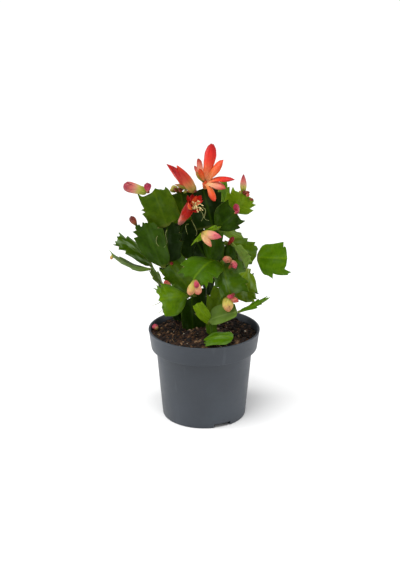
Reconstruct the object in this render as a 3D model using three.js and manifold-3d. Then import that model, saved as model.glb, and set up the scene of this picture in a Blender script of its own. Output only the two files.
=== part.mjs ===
// A potted christmas cactus: a plastic nursery pot, its soil, the flat toothed stem joints of the
// plant, its flowers and its buds. Millimetres, +Z up, the origin under the middle of the pot.
import * as THREE from "three";
import { mergeVertices } from "three/addons/utils/BufferGeometryUtils.js";
import Module from "manifold-3d";

const wasm = await Module();
wasm.setup();

// ---- Driving dimensions ----
const GAP = 0.3; // clearance between neighbouring pieces
const SEAT_GAP = 0.6; // clearance under the neck of what grows on an apex

const POT = {
  height: 86,
  rimRadius: 52.5,
  bandHeight: 18.3,
  bandFootRadius: 50.1,
  bodyTopRadius: 45.4,
  footRadius: 39.9,
  wall: 1.5,
  bandWall: 1.7,
  lipWall: 2,
  floor: 1.6,
  ledge: 1.2, // the step under the rim band, and how far the band's foot stands above it
  edge: 0.6, // rounding of the lip and of the band's foot
  bandStep: 2.4, // height over which the inside widens behind the band's foot
  standRadius: 28,
  channelOuterRadius: 36.5,
  channelHeight: 4,
  sides: 48,
};
const NOTCH = { count: 3, width: 17, height: 4, depth: 8, first: -64 }; // cut in the foot ring, degrees
const DRAIN = { count: 8, radius: 3, ring: 32.2, drill: 8, sides: 10 };

const SOIL = { edge: 80.5, dip: 3, crown: 83.2, tilt: 1.2, lowSide: 0.6, rings: 5, sides: 36 };
const SOIL_WAVES = [{ lobes: 3, pitch: 0.19, height: 0.9 }, { lobes: 5, pitch: -0.3, height: 0.5 }];

const JOINT = {
  neck: 2.3, // half width where a joint grows from the one below
  neckThick: 2.1,
  neckReach: 0.2, // share of the length over which the neck thins into the blade
  ribThick: 2.5,
  midThick: 1.5,
  edgeThick: 0.8,
  curlFrom: 0.4, // share of the length by which the margins have their full curl
  shoulder: 0.52, // share of the length over which a joint broadens
  broadening: [0.16, 0.45], // places of the margin's points on that stretch
  taper: 0.12, // share of its width that it loses again towards the apex
  toothOut: 1.44, // how far a tooth stands out of the margin
  notchIn: 0.96, // how far the notch behind it cuts in
  toothRun: 0.13, // a tooth's length along the margin, as a share of the joint
  toothApart: 0.05, // least share between a tooth's foot and the point before it
  notchRun: 0.035,
  stalk: 1.5, // bare neck before the blade broadens
  horn: [2.2, 1], // how far a corner of the apex stands ahead of it, and out from the margin
};
const COLUMNS = [-1, -0.7, 0, 0.7, 1]; // places across a blade, as shares of its half width
const BLADE_THICK = [JOINT.edgeThick, JOINT.midThick, JOINT.ribThick, JOINT.midThick, JOINT.edgeThick];
const APEX_REACH = [0, -0.7, 0.3, -0.7, 0]; // the closing edge against the tip, by column, without horns

const COLOURS = {
  pot: 0x555d64,
  soil: 0x3a2415,
  dark: 0x2b4a10,
  mid: 0x3f6f14,
  bright: 0x559420,
  pale: 0x78a04a,
  red: 0xdc3420,
  orange: 0xee7038,
  pink: 0xe8777c,
  cream: 0xe6c878,
};

// ---- The stem joints ----
// Each grows on the apex of an earlier one (seat: where across that apex, -1 to 1) or is rooted in
// the soil, and ends at its tip. face is the way its broad side looks, bow how far its midrib arches
// to that side, cup how far its margins curl to it. teeth are the places of the teeth along the left
// and the right margin, and horns the corners of its apex, where they aren't the usual ones.
const JOINTS = [
  { name: "left_base", root: [-11, 6, 72], tip: [-12, 6, 113], face: [0.3, -1, 0.1],
    width: 20, bow: 0, cup: 0, shade: "dark", teeth: [[], [0.7]] },
  { name: "left_middle", on: "left_base", seat: 0.35, tip: [-32, 5, 147], face: [-0.2, -0.9, 0.3],
    width: 24, bow: -1, cup: -1, shade: "mid", teeth: [[0.5, 0.78], [0.7]] },
  { name: "left_low", on: "left_base", seat: -0.45, tip: [-37, -22, 123], face: [-0.2, -0.8, 0.6],
    width: 27, bow: 5, cup: -3, shade: "bright", teeth: [[0.7, 0.86], [0.75, 0.88]] },
  { name: "left_high", on: "left_middle", seat: -0.6, tip: [-53, -9, 191], face: [-0.35, -0.9, 0.3],
    width: 26, bow: 2, cup: 2, shade: "dark", horns: [[1, -3], [1, -3]], teeth: [[0.74, 0.86], [0.85]] },
  { name: "left_inner", on: "left_middle", seat: -0.08, tip: [-34, -1, 184.5], face: [0, -1, 0.2],
    width: 25, bow: 1, cup: -1, shade: "dark", teeth: [[0.7], [0.6, 0.8]] },
  { name: "left_crown", on: "left_inner", seat: 0, tip: [-45, -9, 220], face: [0.1, -0.95, 0.35],
    width: 30, bow: -1, cup: -2, shade: "mid", horns: [[0.5, 1], [-2, -3]], teeth: [[0.5, 0.6], []] },
  { name: "left_back", on: "left_middle", seat: 0.74, tip: [-20, 16, 182], face: [0.3, -1, 0.1],
    width: 24, bow: -4, cup: -1, shade: "dark", teeth: [[0.7], [0.6, 0.8]] },
  { name: "left_rear_crown", on: "left_back", seat: 0.3, tip: [-22, 21, 212], face: [0, -1, 0.3],
    width: 25, bow: -1, cup: 1, shade: "mid", teeth: [[0.7], [0.7]] },
  { name: "rear_left_base", root: [-14, 26, 72], tip: [-34, 22, 117], face: [0.5, -0.9, 0.1],
    width: 18, bow: 0, cup: 0, shade: "dark", teeth: [[], [0.75]] },
  { name: "far_left_stalk", on: "rear_left_base", seat: -0.5, tip: [-50, 16, 140], face: [0.8, -0.15, 0.57],
    width: 17, bow: 0, cup: 0, shade: "pale", teeth: [[0.4, 0.75], [0.6]] },
  { name: "far_left_up", on: "far_left_stalk", seat: 0.55, tip: [-80, 8, 171], face: [0.73, -0.25, 0.64],
    width: 21, bow: 3, cup: -1, shade: "mid", teeth: [[0.7, 0.86], [0.8]] },
  { name: "far_left_low", on: "far_left_stalk", seat: -0.55, tip: [-85, 0, 158], face: [0.4, 0.1, 0.9],
    width: 20, bow: -4, cup: 1, shade: "pale", teeth: [[0.5, 0.8], [0.7]] },
  { name: "rear_left", on: "rear_left_base", seat: 0.95, tip: [-31, 39, 141], face: [0.2, -1, 0.2],
    width: 22, bow: 0, cup: 0, shade: "dark", teeth: [[0.6, 0.8], [0.7]] },
  { name: "front_base", root: [7, -15, 72], tip: [7, -14, 100], face: [-0.6, -0.8, 0.1],
    width: 16, bow: 0, cup: 0, shade: "dark", teeth: [[], []] },
  { name: "front_rest", root: [-1, -25, 79], tip: [23, -35, 90], face: [0.1, -0.15, 0.98],
    width: 23, bow: 4, cup: -1, shade: "bright", teeth: [[0.8], [0.5, 0.8]] },
  { name: "front_left", on: "front_base", seat: -0.8, tip: [-5, -20, 116], face: [-0.4, -0.85, 0.3],
    width: 17, bow: 1, cup: 0, shade: "bright", teeth: [[0.6], []] },
  { name: "front_right", on: "front_base", seat: 0.78, tip: [31, -28, 110], face: [0.1, -0.7, 0.75],
    width: 22, bow: 2, cup: 1, shade: "pale", teeth: [[0.8], [0.65]] },
  { name: "front_right_tip", on: "front_right", seat: 0, tip: [55, -24, 122], face: [-0.47, 0.09, 0.88],
    width: 17, bow: -1, cup: 1, shade: "bright", teeth: [[0.6, 0.82], [0.6, 0.8]] },
  { name: "right_low", on: "front_base", seat: 0.1, tip: [17, -4, 126], face: [0.3, -0.9, 0.2],
    width: 20, bow: -3, cup: 1, shade: "mid", stalk: 3, horns: [[1, 0.5], [0, 0]], teeth: [[0.6], [0.7]] },
  { name: "right_middle", on: "right_low", seat: -0.2, tip: [17, -3, 151], face: [0.1, -1, 0.1],
    width: 20, bow: -1, cup: 0, shade: "dark", teeth: [[], []] },
  { name: "front_bright", on: "right_middle", seat: -0.55, tip: [-9, -36, 147], face: [-0.3, -0.65, 0.7],
    width: 29, bow: 6, cup: -2, shade: "bright", stalk: 3, teeth: [[0.7, 0.86], [0.8]] },
  { name: "right_front", on: "right_middle", seat: -0.05, tip: [24, -25, 127], face: [-0.2, -0.9, 0.45],
    width: 18, bow: 6, cup: -2, shade: "mid", teeth: [[0.6, 0.8], [0.7]] },
  { name: "right_rear", on: "right_low", seat: 0.7, tip: [49, 20, 123], face: [0.2, -0.9, 0.4],
    width: 22, bow: -1, cup: -1, shade: "dark", teeth: [[0.7, 0.86], [0.75, 0.88]] },
  { name: "centre_right", on: "right_middle", seat: 0.35, tip: [22, 3, 166], face: [-1, -0.1, 0.2],
    width: 12, bow: 0, cup: 0, shade: "dark", horns: [[0, 0], [-1.5, -1]], teeth: [[], []] },
  { name: "right_over", on: "centre_right", seat: -0.8, tip: [48, 5, 155], face: [0.35, -0.92, 0.3],
    width: 21, bow: 2, cup: -2, shade: "mid", stalk: 3, horns: [[0, -2], [0, -2]],
    teeth: [[0.55, 0.8], [0.7]] },
  { name: "right_pale", on: "centre_right", seat: 1, tip: [39, -19, 152], face: [0.74, 0.64, 0.21],
    width: 17, bow: 1, cup: 1, shade: "pale", stalk: 4.5, teeth: [[0.6], [0.7, 0.86]] },
  { name: "right_droop", on: "right_pale", seat: 0, tip: [39, -12, 116], face: [-0.25, -0.93, 0.2],
    width: 20, bow: 3, cup: -2, shade: "mid", stalk: 3, teeth: [[0.6, 0.85], [0.5, 0.75]] },
  { name: "far_right", on: "right_over", seat: 0, tip: [75, -5, 157], face: [0.05, -0.95, 0.33],
    width: 27, bow: 1, cup: -1, shade: "bright", horns: [[-1.5, 3], [3.5, 1.5]], teeth: [[], [0.45, 0.88]] },
  { name: "centre_low", root: [2, 14, 72], tip: [4, 12, 112], face: [-0.95, -0.3, 0],
    width: 19, bow: 0, cup: 0, shade: "dark", teeth: [[], [0.7]] },
  { name: "centre_middle", on: "centre_low", seat: 0, tip: [5, 10, 147], face: [-0.95, -0.3, 0],
    width: 21, bow: 0, cup: 0, shade: "dark", teeth: [[0.75], []] },
  { name: "centre_high", on: "centre_middle", seat: 0.3, tip: [8, 9, 179], face: [-0.9, -0.4, 0.1],
    width: 22, bow: 0, cup: 0, shade: "pale", teeth: [[], [0.75]] },
  { name: "toward", on: "centre_high", seat: 0.9, tip: [-4, -24, 181], face: [-0.25, -0.15, 0.95],
    width: 26, bow: 1, cup: -2, shade: "bright", horns: [[-1, -1], [1.5, 1.5]],
    teeth: [[0.7, 0.84], [0.75]] },
  { name: "right_dark", on: "centre_high", seat: 0.4, tip: [29, 0, 198], face: [0.1, -0.95, 0.3],
    width: 27, bow: 1, cup: -1, shade: "dark", teeth: [[], [0.8]] },
  { name: "right_arch", on: "centre_high", seat: -0.5, tip: [37, 25, 168], face: [0.2, 0.3, 0.93],
    width: 20, bow: 4, cup: -1, shade: "mid", teeth: [[0.6, 0.82], [0.7]] },
  { name: "centre_rear", on: "centre_middle", seat: -0.6, tip: [-13, 29, 173], face: [0.3, -0.95, 0.1],
    width: 22, bow: -1, cup: 0, shade: "dark", teeth: [[0.7], [0.7]] },
  { name: "centre_dark", on: "centre_high", seat: 0, tip: [-1, 14, 217], face: [0, -1, 0.15],
    width: 31, bow: -1, cup: 1, shade: "dark", teeth: [[0.6, 0.8], [0.55, 0.8]] },
  { name: "rear_right", on: "centre_high", seat: -0.9, tip: [20, 28, 193], face: [0.2, -1, 0.1],
    width: 14, bow: -2, cup: 1, shade: "dark", horns: [[0, 0], [2.2, 1]], teeth: [[], [0.7]] },
  { name: "rear_strip", on: "rear_right", seat: -0.17, tip: [14, 34, 218], face: [-0.95, 0.3, 0.1],
    width: 20, bow: 0, cup: 0, shade: "bright", teeth: [[0.6], [0.7]] },
  { name: "right_crown", on: "rear_right", seat: 0.9, tip: [36, 20, 211], face: [0.2, -0.95, 0.3],
    width: 24, bow: 2, cup: -1, shade: "bright", horns: [[2.2, 1], [-1, -1.5]],
    teeth: [[0.75], [0.5, 0.75]] },
];

// ---- Buds and flowers ----
// Each bunch of buds grows on the apex of a joint, or lies loose on the soil.
const BUDS = [
  { name: "buds_left_crown", on: "left_crown", seat: -0.72, shade: "pink",
    buds: [{ tip: [-72, -13, 227], radius: 5.4 }, { tip: [-48, -13, 226], radius: 3 }] },
  { name: "bud_left_high", on: "left_high", seat: -0.8, shade: "orange",
    buds: [{ tip: [-66, -14, 198], radius: 2.9 }] },
  { name: "buds_rear_crown", on: "left_rear_crown", seat: -0.1, shade: "cream",
    buds: [{ tip: [-30, 18, 218], radius: 2.9 }, { tip: [-20, 14, 220], radius: 2.6 }] },
  { name: "buds_right_crown", on: "right_crown", seat: 0, shade: "cream",
    buds: [{ tip: [36, 21, 229], radius: 3 }, { tip: [42, 17, 213], radius: 2 }] },
  { name: "bud_right_dark", on: "right_dark", seat: 0.1, shade: "pink",
    buds: [{ tip: [28, -8, 208], radius: 2.7 }] },
  { name: "buds_toward", on: "toward", seat: -0.45, shade: "cream",
    buds: [{ tip: [17, -37, 187], radius: 4.2 }, { tip: [8, -40, 175], radius: 3.7 }] },
  { name: "buds_right_middle", on: "right_middle", seat: 0.95, shade: "orange",
    buds: [{ tip: [18, -19, 160], radius: 3.4 }, { tip: [28, -21, 153], radius: 2.9 }] },
  { name: "bud_centre_right", on: "centre_right", seat: -0.1, shade: "red",
    buds: [{ tip: [27, 0, 175], radius: 2.1 }] },
  { name: "buds_rear_left", on: "rear_left_base", seat: 0, shade: "orange",
    buds: [{ tip: [-35, 13, 132], radius: 2.4 }, { tip: [-37, 10, 124], radius: 2.4 }] },
  { name: "buds_front_bright", on: "front_bright", seat: -0.1, shade: "cream",
    buds: [{ tip: [-13, -41, 132], radius: 3.8 }, { tip: [-6, -41, 132], radius: 3.8 }] },
  { name: "buds_right_front", on: "right_front", seat: 0.45, shade: "cream",
    buds: [
      { tip: [22, -31, 113], radius: 5 },
      { tip: [32, -28, 120], radius: 2.7 },
      { tip: [24, -33, 129], radius: 2.4 },
    ] },
  { name: "bud_fallen", at: [-44, 1, 83.7], shade: "pink",
    buds: [{ tip: [-48, 7, 85.4], radius: 2.8 }] },
];

// ---- Solids ----
const vec = (p) => new THREE.Vector3(...p);

function solid(geometry) {
  const bare = geometry.clone();
  bare.deleteAttribute("normal");
  bare.deleteAttribute("uv");
  const merged = mergeVertices(bare, 1e-4);
  const triVerts = new Uint32Array(merged.index.array);
  const vertProperties = merged.attributes.position.array;
  return new wasm.Manifold(new wasm.Mesh({ numProp: 3, vertProperties, triVerts }));
}

function geometryOf(manifold) {
  const mesh = manifold.getMesh();
  const geometry = new THREE.BufferGeometry();
  geometry.setAttribute("position", new THREE.BufferAttribute(mesh.vertProperties, 3));
  geometry.setIndex(new THREE.BufferAttribute(mesh.triVerts, 1));
  return geometry;
}

function unionOf(geometries) {
  return geometryOf(geometries.map(solid).reduce((whole, piece) => whole.add(piece)));
}

// A closed skin from rows of points, front and back alike, with its rims walled.
function sheetGeometry(front, back) {
  const rows = front.length;
  const columns = front[0].length;
  const points = [...front.flat(), ...back.flat()];
  const at = (side, i, j) => side * rows * columns + i * columns + j;
  const faces = [];
  const quad = (a, b, c, d) => faces.push(a, b, c, a, c, d);
  for (let i = 0; i + 1 < rows; i++) {
    for (let j = 0; j + 1 < columns; j++) {
      const lowHalf = 2 * j < columns - 1;
      const p = [[i, j], [i, j + 1], [i + 1, j + 1], [i + 1, j]];
      const turned = lowHalf ? p : [p[1], p[2], p[3], p[0]];
      quad(...turned.map(([r, c]) => at(0, r, c)));
      const [a, b, c, d] = turned.map(([r, k]) => at(1, r, k));
      faces.push(a, c, b, a, d, c);
    }
    quad(at(0, i + 1, 0), at(1, i + 1, 0), at(1, i, 0), at(0, i, 0));
    const last = columns - 1;
    quad(at(0, i, last), at(1, i, last), at(1, i + 1, last), at(0, i + 1, last));
  }
  for (let j = 0; j + 1 < columns; j++) {
    quad(at(0, 0, j), at(1, 0, j), at(1, 0, j + 1), at(0, 0, j + 1));
    quad(at(0, rows - 1, j + 1), at(1, rows - 1, j + 1), at(1, rows - 1, j), at(0, rows - 1, j));
  }
  const geometry = new THREE.BufferGeometry().setFromPoints(points);
  geometry.setIndex(faces);
  return geometry;
}

// A body of round sections along a straight axis: [share along, radius].
function turnedGeometry(from, to, profile, sides) {
  const axis = to.clone().sub(from);
  const points = profile.map(([s, r]) => new THREE.Vector2(r, s * axis.length()));
  const closed = [new THREE.Vector2(0, points[0].y), ...points, new THREE.Vector2(0, points.at(-1).y)];
  const lathe = new THREE.LatheGeometry(closed, sides);
  const upright = new THREE.Vector3(0, 1, 0);
  lathe.applyQuaternion(new THREE.Quaternion().setFromUnitVectors(upright, axis.normalize()));
  return lathe.translate(from.x, from.y, from.z);
}

// ---- Stem joint ----
// The directions of a blade: along it, across it to the right, and out of its broad side.
function bladeFrame(base, tip, face) {
  const along = tip.clone().sub(base);
  const length = along.length();
  along.normalize();
  const out = face.clone().addScaledVector(along, -face.dot(along)).normalize();
  const across = new THREE.Vector3().crossVectors(along, out).normalize();
  return { base, length, along, out, across };
}

// The midrib point at share s, with the local directions there: the midrib is a parabola.
function ribAt(frame, bow, s) {
  const point = frame.base.clone();
  point.addScaledVector(frame.along, frame.length * s);
  point.addScaledVector(frame.out, 4 * bow * s * (1 - s));
  const slope = (4 * bow * (1 - 2 * s)) / frame.length;
  const ahead = frame.along.clone().addScaledVector(frame.out, slope).normalize();
  const out = new THREE.Vector3().crossVectors(frame.across, ahead).normalize();
  return { point, ahead, across: frame.across.clone(), out };
}

// Half width at share s, without teeth, as a share of the full half width.
function broadness(s, stalkShare, neckShare) {
  const t = (s - stalkShare) / (JOINT.shoulder - stalkShare);
  if (t < 0) return neckShare;
  if (t < 1) return 1 - (1 - neckShare) * (1 - t) ** 3;
  return 1 - JOINT.taper * ((s - JOINT.shoulder) / (1 - JOINT.shoulder)) ** 2;
}

// One margin: [share along, half width] from the neck to the horn, with a forward tooth at each place.
function marginOf(row, length, teeth, horn) {
  const half = row.width / 2;
  const neckShare = JOINT.neck / half;
  const stalkShare = (row.stalk ?? JOINT.stalk) / length;
  const wide = (s) => half * broadness(s, stalkShare, neckShare);
  const broadening = JOINT.broadening.map((t) => stalkShare + t * (JOINT.shoulder - stalkShare));
  const points = [0, stalkShare, ...broadening].map((s) => [s, wide(s)]);
  for (const s of teeth) {
    const foot = s - JOINT.toothRun;
    if (foot > points.at(-1)[0] + JOINT.toothApart) points.push([foot, wide(foot)]);
    points.push([s, wide(s) + JOINT.toothOut]);
    points.push([s + JOINT.notchRun, wide(s) - JOINT.notchIn]);
  }
  points.push([1 + horn[0] / length, wide(1) + horn[1]]);
  return points;
}

const hornsOf = (row) => row.horns ?? [JOINT.horn, JOINT.horn];
const apexReach = (row) => [hornsOf(row)[0][0], ...APEX_REACH.slice(1, 4), hornsOf(row)[1][0]];

// Splits the longest stretches of a margin until it has as many points as its other side.
function padded(points, count) {
  const longer = points.map((p) => [...p]);
  while (longer.length < count) {
    let widest = 1;
    for (let i = 1; i < longer.length; i++) {
      const gap = longer[i][0] - longer[i - 1][0];
      if (gap > longer[widest][0] - longer[widest - 1][0]) widest = i;
    }
    const [a, b] = [longer[widest - 1], longer[widest]];
    longer.splice(widest, 0, [(a[0] + b[0]) / 2, (a[1] + b[1]) / 2]);
  }
  return longer;
}

// The joint's solid. grow fattens it all round, for the hole that it stands in.
function bladeGeometry(row, frame, grow = 0) {
  const horns = hornsOf(row);
  const sides = row.teeth.map((teeth, side) => marginOf(row, frame.length, teeth, horns[side]));
  const count = Math.max(...sides.map((side) => side.length));
  const [left, right] = sides.map((side) => padded(side, count));
  const front = [];
  const back = [];
  for (let i = 0; i < count; i++) {
    const last = i === count - 1;
    const rows = [[], []];
    COLUMNS.forEach((c, j) => {
      const blend = (c + 1) / 2;
      const s = last
        ? 1 + (apexReach(row)[j] + grow) / frame.length
        : left[i][0] * (1 - blend) + right[i][0] * blend;
      const half = (c < 0 ? left : right)[i][1] + grow;
      const rib = ribAt(frame, row.bow, s);
      const neck = Math.max(0, 1 - s / JOINT.neckReach);
      const bladeThick = BLADE_THICK[j];
      const thick = bladeThick + neck * (JOINT.neckThick - bladeThick) + 2 * grow;
      const curl = row.cup * c * c * Math.min(1, s / JOINT.curlFrom);
      const middle = rib.point.addScaledVector(rib.across, c * half).addScaledVector(rib.out, curl);
      if (grow && i === 0) middle.addScaledVector(rib.ahead, -grow);
      rows[0].push(middle.clone().addScaledVector(rib.out, thick / 2));
      rows[1].push(middle.clone().addScaledVector(rib.out, -thick / 2));
    });
    front.push(rows[0]);
    back.push(rows[1]);
  }
  return sheetGeometry(front, back);
}

// A place on the edge that closes a joint (seat: across it, -1 to 1), and the way it grows on there.
function apexOf(grown, seat) {
  const { row, frame } = grown;
  const k = COLUMNS.findIndex((c, j) => j > 0 && seat <= c);
  const blend = (seat - COLUMNS[k - 1]) / (COLUMNS[k] - COLUMNS[k - 1]);
  const reaches = apexReach(row);
  const reach = reaches[k - 1] * (1 - blend) + reaches[k] * blend;
  const rib = ribAt(frame, row.bow, 1 + reach / frame.length);
  const half = (row.width / 2) * (1 - JOINT.taper);
  const point = rib.point.addScaledVector(rib.across, seat * half);
  point.addScaledVector(rib.out, row.cup * seat * seat);
  return { point, ahead: rib.ahead };
}

// The foot of a round piece that grows on an apex towards its tip, clear of the apex.
function footOn(apex, tip, radius) {
  const toward = tip.clone().sub(apex.point).normalize();
  const lean = Math.sqrt(Math.max(0, 1 - toward.dot(apex.ahead) ** 2));
  return apex.point.clone().addScaledVector(apex.ahead, SEAT_GAP + radius * lean);
}

// The foot of a joint that grows on an apex: its flat neck, turned as it starts, clears the apex.
function neckOn(apex, row) {
  const frame = bladeFrame(apex.point, vec(row.tip), vec(row.face));
  const start = ribAt(frame, row.bow, 0);
  const lean = JOINT.neck * Math.abs(start.across.dot(apex.ahead))
    + (JOINT.neckThick / 2) * Math.abs(start.out.dot(apex.ahead));
  return apex.point.clone().addScaledVector(apex.ahead, SEAT_GAP + lean);
}

const grownJoints = new Map();

function growJoint(row) {
  const base = row.root ? vec(row.root) : neckOn(apexOf(grownJoints.get(row.on), row.seat), row);
  const frame = bladeFrame(base, vec(row.tip), vec(row.face));
  grownJoints.set(row.name, { row, frame });
  return frame;
}

// ---- Buds ----
// [share along, radius share] from the green base to the closed petals' point.
const BUD_PROFILE = [[0, 0.3], [0.12, 0.55], [0.26, 0.6], [0.48, 0.96], [0.68, 1], [0.88, 0.66], [1, 0.16]];
const BUD_SIDES = 8;
const BUD_NECK = 0.5; // share of the radius that clears the apex

function budGeometry(base, tip, radius) {
  return turnedGeometry(base, tip, BUD_PROFILE.map(([s, share]) => [s, share * radius]), BUD_SIDES);
}

// ---- Flowers ----
const PETAL_OUTLINE = [[0, 0.42], [0.2, 0.66], [0.45, 0.96], [0.66, 1], [0.86, 0.68], [1, 0.14]];
const PETAL_THICK = [0.7, 1.2, 0.7];
const PETAL_SUNK = 2; // how deep in the tube a petal starts
const PETAL_RING = 0.55; // share of the tube's radius at which it starts

function petalGeometry(from, petal) {
  const frame = bladeFrame(from, vec(petal.tip), vec(petal.face));
  const front = [];
  const back = [];
  for (const [s, share] of PETAL_OUTLINE) {
    const rib = ribAt(frame, petal.bow, s);
    const place = (c, j, sign) =>
      rib.point.clone()
        .addScaledVector(rib.across, (c * share * petal.width) / 2)
        .addScaledVector(rib.out, petal.cup * c * c * share + (sign * PETAL_THICK[j]) / 2);
    front.push([-1, 0, 1].map((c, j) => place(c, j, 1)));
    back.push([-1, 0, 1].map((c, j) => place(c, j, -1)));
  }
  return sheetGeometry(front, back);
}

// Where a petal leaves the inside of its flower's tube, on the side that it leans to.
function petalRoot(flower, throat, axis, petal) {
  const lean = vec(petal.tip).sub(throat);
  lean.addScaledVector(axis, -lean.dot(axis)).normalize();
  const ring = PETAL_RING * flower.tubeRadius;
  return throat.clone().addScaledVector(axis, -PETAL_SUNK).addScaledVector(lean, ring);
}

// Every flower: a tube from its seat to its throat, and petals that start inside the tube.
const FLOWERS = [
  { name: "flower_open", on: "centre_dark", seat: 0.15, throat: [1, 2, 227], shade: "orange",
    tubeRadius: 3.8, tube: [[0, 1.2], [0.14, 2.6], [0.35, 2.4], [0.7, 3.2], [1, 3.8]],
    petals: [
      { tip: [7, -2, 262], face: [-0.3, -0.9, 0.1], width: 12, bow: 2, cup: -2 },
      { tip: [17, -9, 249], face: [-0.3, -0.7, 0.5], width: 9, bow: 2, cup: -1.5 },
      { tip: [27, -10, 231], face: [-0.1, -0.5, 0.9], width: 8, bow: 4, cup: -1.5 },
      { tip: [19, -11, 223], face: [0.1, -0.7, 0.7], width: 9, bow: 3, cup: -1.5 },
      { tip: [9, -12, 211], face: [0.5, -0.9, 0.3], width: 9, bow: 3, cup: -1.5 },
      { tip: [-6, 10, 246], face: [0.7, -0.7, 0.1], width: 8, bow: -2, cup: 1.5 },
      { tip: [-9, 12, 239], face: [0.8, -0.5, 0.1], width: 7, bow: -2, cup: 1.5 },
      { tip: [-5, -3, 240], face: [0.2, -0.9, 0.1], width: 5, bow: 1, cup: -1 },
    ] },
  { name: "flower_half_open", on: "centre_dark", seat: -0.65, throat: [-18, 9, 229], shade: "red",
    tubeRadius: 5, tube: [[0, 1.2], [0.14, 3], [0.3, 2.8], [0.6, 5.2], [1, 6.2], [1.45, 5], [1.8, 1.6]],
    petals: [
      { tip: [-34, 5, 242], face: [0.1, -0.7, 0.7], width: 10, bow: 2, cup: -3 },
      { tip: [-25, 3, 240], face: [-0.2, -0.9, 0.4], width: 9, bow: 1, cup: -2.5 },
    ] },
  { name: "flower_drooping", on: "left_back", seat: -0.3, throat: [-11, -9, 205], shade: "red",
    tubeRadius: 5.2, tube: [[0, 1.2], [0.12, 2.6], [0.3, 3], [0.62, 5.2], [1, 5.2]],
    petals: [
      { tip: [-11, -6, 217], face: [0.6, -0.6, 0.2], width: 9, bow: -1, cup: 2 },
      { tip: [-3, -10, 217], face: [0.2, -0.8, -0.4], width: 8, bow: -1, cup: 2 },
      { tip: [-3, -18, 202], face: [-0.6, 0.3, 0.7], width: 8, bow: -1, cup: 2 },
      { tip: [-13, -21, 211], face: [0.5, 0.8, -0.1], width: 8, bow: -1, cup: 2 },
    ] },
];

const TUBE_SIDES = 10;

const STAMENS = {
  count: 7,
  thick: 0.8,
  shortest: 9.6,
  longer: 0.72, // by which each filament outreaches the one before it
  bend: [7.2, 1.6], // ahead of and out from the root of a filament, where it bends
  spread: 3,
  core: { length: 2, radius: 2, endRadius: 1.4 },
  rootAhead: 0.6,
  rootRing: 0.8,
};

// The spray of stamens in the drooping flower's mouth: curved filaments on one small core.
function stamensGeometry(mouth, axis) {
  const { core, thick } = STAMENS;
  const start = mouth.clone().addScaledVector(axis, GAP);
  const end = start.clone().addScaledVector(axis, core.length);
  const parts = [turnedGeometry(start, end, [[0, core.radius], [1, core.endRadius]], TUBE_SIDES)];
  const section = new THREE.Shape();
  section.moveTo(thick / 2, 0).lineTo(0, thick / 2).lineTo(-thick / 2, 0).lineTo(0, -thick / 2);
  const across = new THREE.Vector3().crossVectors(axis, new THREE.Vector3(0, 0, 1)).normalize();
  for (let i = 0; i < STAMENS.count; i++) {
    const side = across.clone().applyAxisAngle(axis, (2 * Math.PI * i) / STAMENS.count);
    const place = (ahead, out) => start.clone().addScaledVector(axis, ahead).addScaledVector(side, out);
    const root = place(STAMENS.rootAhead, STAMENS.rootRing);
    const bend = place(STAMENS.rootAhead + STAMENS.bend[0], STAMENS.rootRing + STAMENS.bend[1]);
    const reach = STAMENS.shortest + STAMENS.longer * i;
    const tip = place(STAMENS.rootAhead + reach, STAMENS.rootRing + STAMENS.spread);
    const path = new THREE.QuadraticBezierCurve3(root, bend, tip);
    parts.push(new THREE.ExtrudeGeometry(section, { steps: 4, extrudePath: path }));
  }
  return unionOf(parts);
}

// ---- Pot ----
const BAND_FOOT = POT.height - POT.bandHeight;
const FLOOR_TOP = POT.channelHeight + POT.floor;

// The radius inside the body's wall at height z.
function wallInside(z) {
  const taper = (POT.bodyTopRadius - POT.footRadius) / BAND_FOOT;
  return POT.footRadius + taper * z - POT.wall;
}

function potGeometry() {
  const profile = [
    [0, 0],
    [POT.standRadius, 0],
    [POT.standRadius + POT.edge, POT.channelHeight],
    [POT.channelOuterRadius, POT.channelHeight],
    [POT.channelOuterRadius + POT.edge, 0],
    [POT.footRadius - 2 * POT.edge, 0],
    [POT.footRadius, 2 * POT.edge],
    [POT.bodyTopRadius, BAND_FOOT - POT.ledge],
    [POT.bodyTopRadius + POT.ledge, BAND_FOOT],
    [POT.bandFootRadius - POT.edge, BAND_FOOT],
    [POT.bandFootRadius, BAND_FOOT + POT.edge],
    [POT.rimRadius, POT.height - POT.edge],
    [POT.rimRadius - POT.edge, POT.height],
    [POT.rimRadius - POT.lipWall + POT.edge, POT.height],
    [POT.rimRadius - POT.lipWall, POT.height - POT.edge],
    [POT.bandFootRadius - POT.bandWall, BAND_FOOT + POT.bandStep],
    [wallInside(BAND_FOOT), BAND_FOOT],
    [wallInside(FLOOR_TOP), FLOOR_TOP],
    [POT.standRadius, FLOOR_TOP],
    [POT.standRadius - POT.wall, POT.floor],
    [0, POT.floor],
  ];
  const shell = new THREE.LatheGeometry(profile.map(([r, z]) => new THREE.Vector2(r, z)), POT.sides);
  shell.rotateX(Math.PI / 2);
  let pot = solid(shell);
  for (let i = 0; i < NOTCH.count; i++) {
    const turn = THREE.MathUtils.degToRad(NOTCH.first + (360 / NOTCH.count) * i);
    const cutter = new THREE.BoxGeometry(NOTCH.depth, NOTCH.width, 2 * NOTCH.height);
    cutter.translate(POT.footRadius, 0, 0).rotateZ(turn);
    pot = pot.subtract(solid(cutter));
  }
  for (let i = 0; i < DRAIN.count; i++) {
    const drill = new THREE.CylinderGeometry(DRAIN.radius, DRAIN.radius, DRAIN.drill, DRAIN.sides);
    drill.rotateX(Math.PI / 2).translate(DRAIN.ring, 0, FLOOR_TOP);
    drill.rotateZ((2 * Math.PI * i) / DRAIN.count);
    pot = pot.subtract(solid(drill));
  }
  return geometryOf(pot);
}

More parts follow.
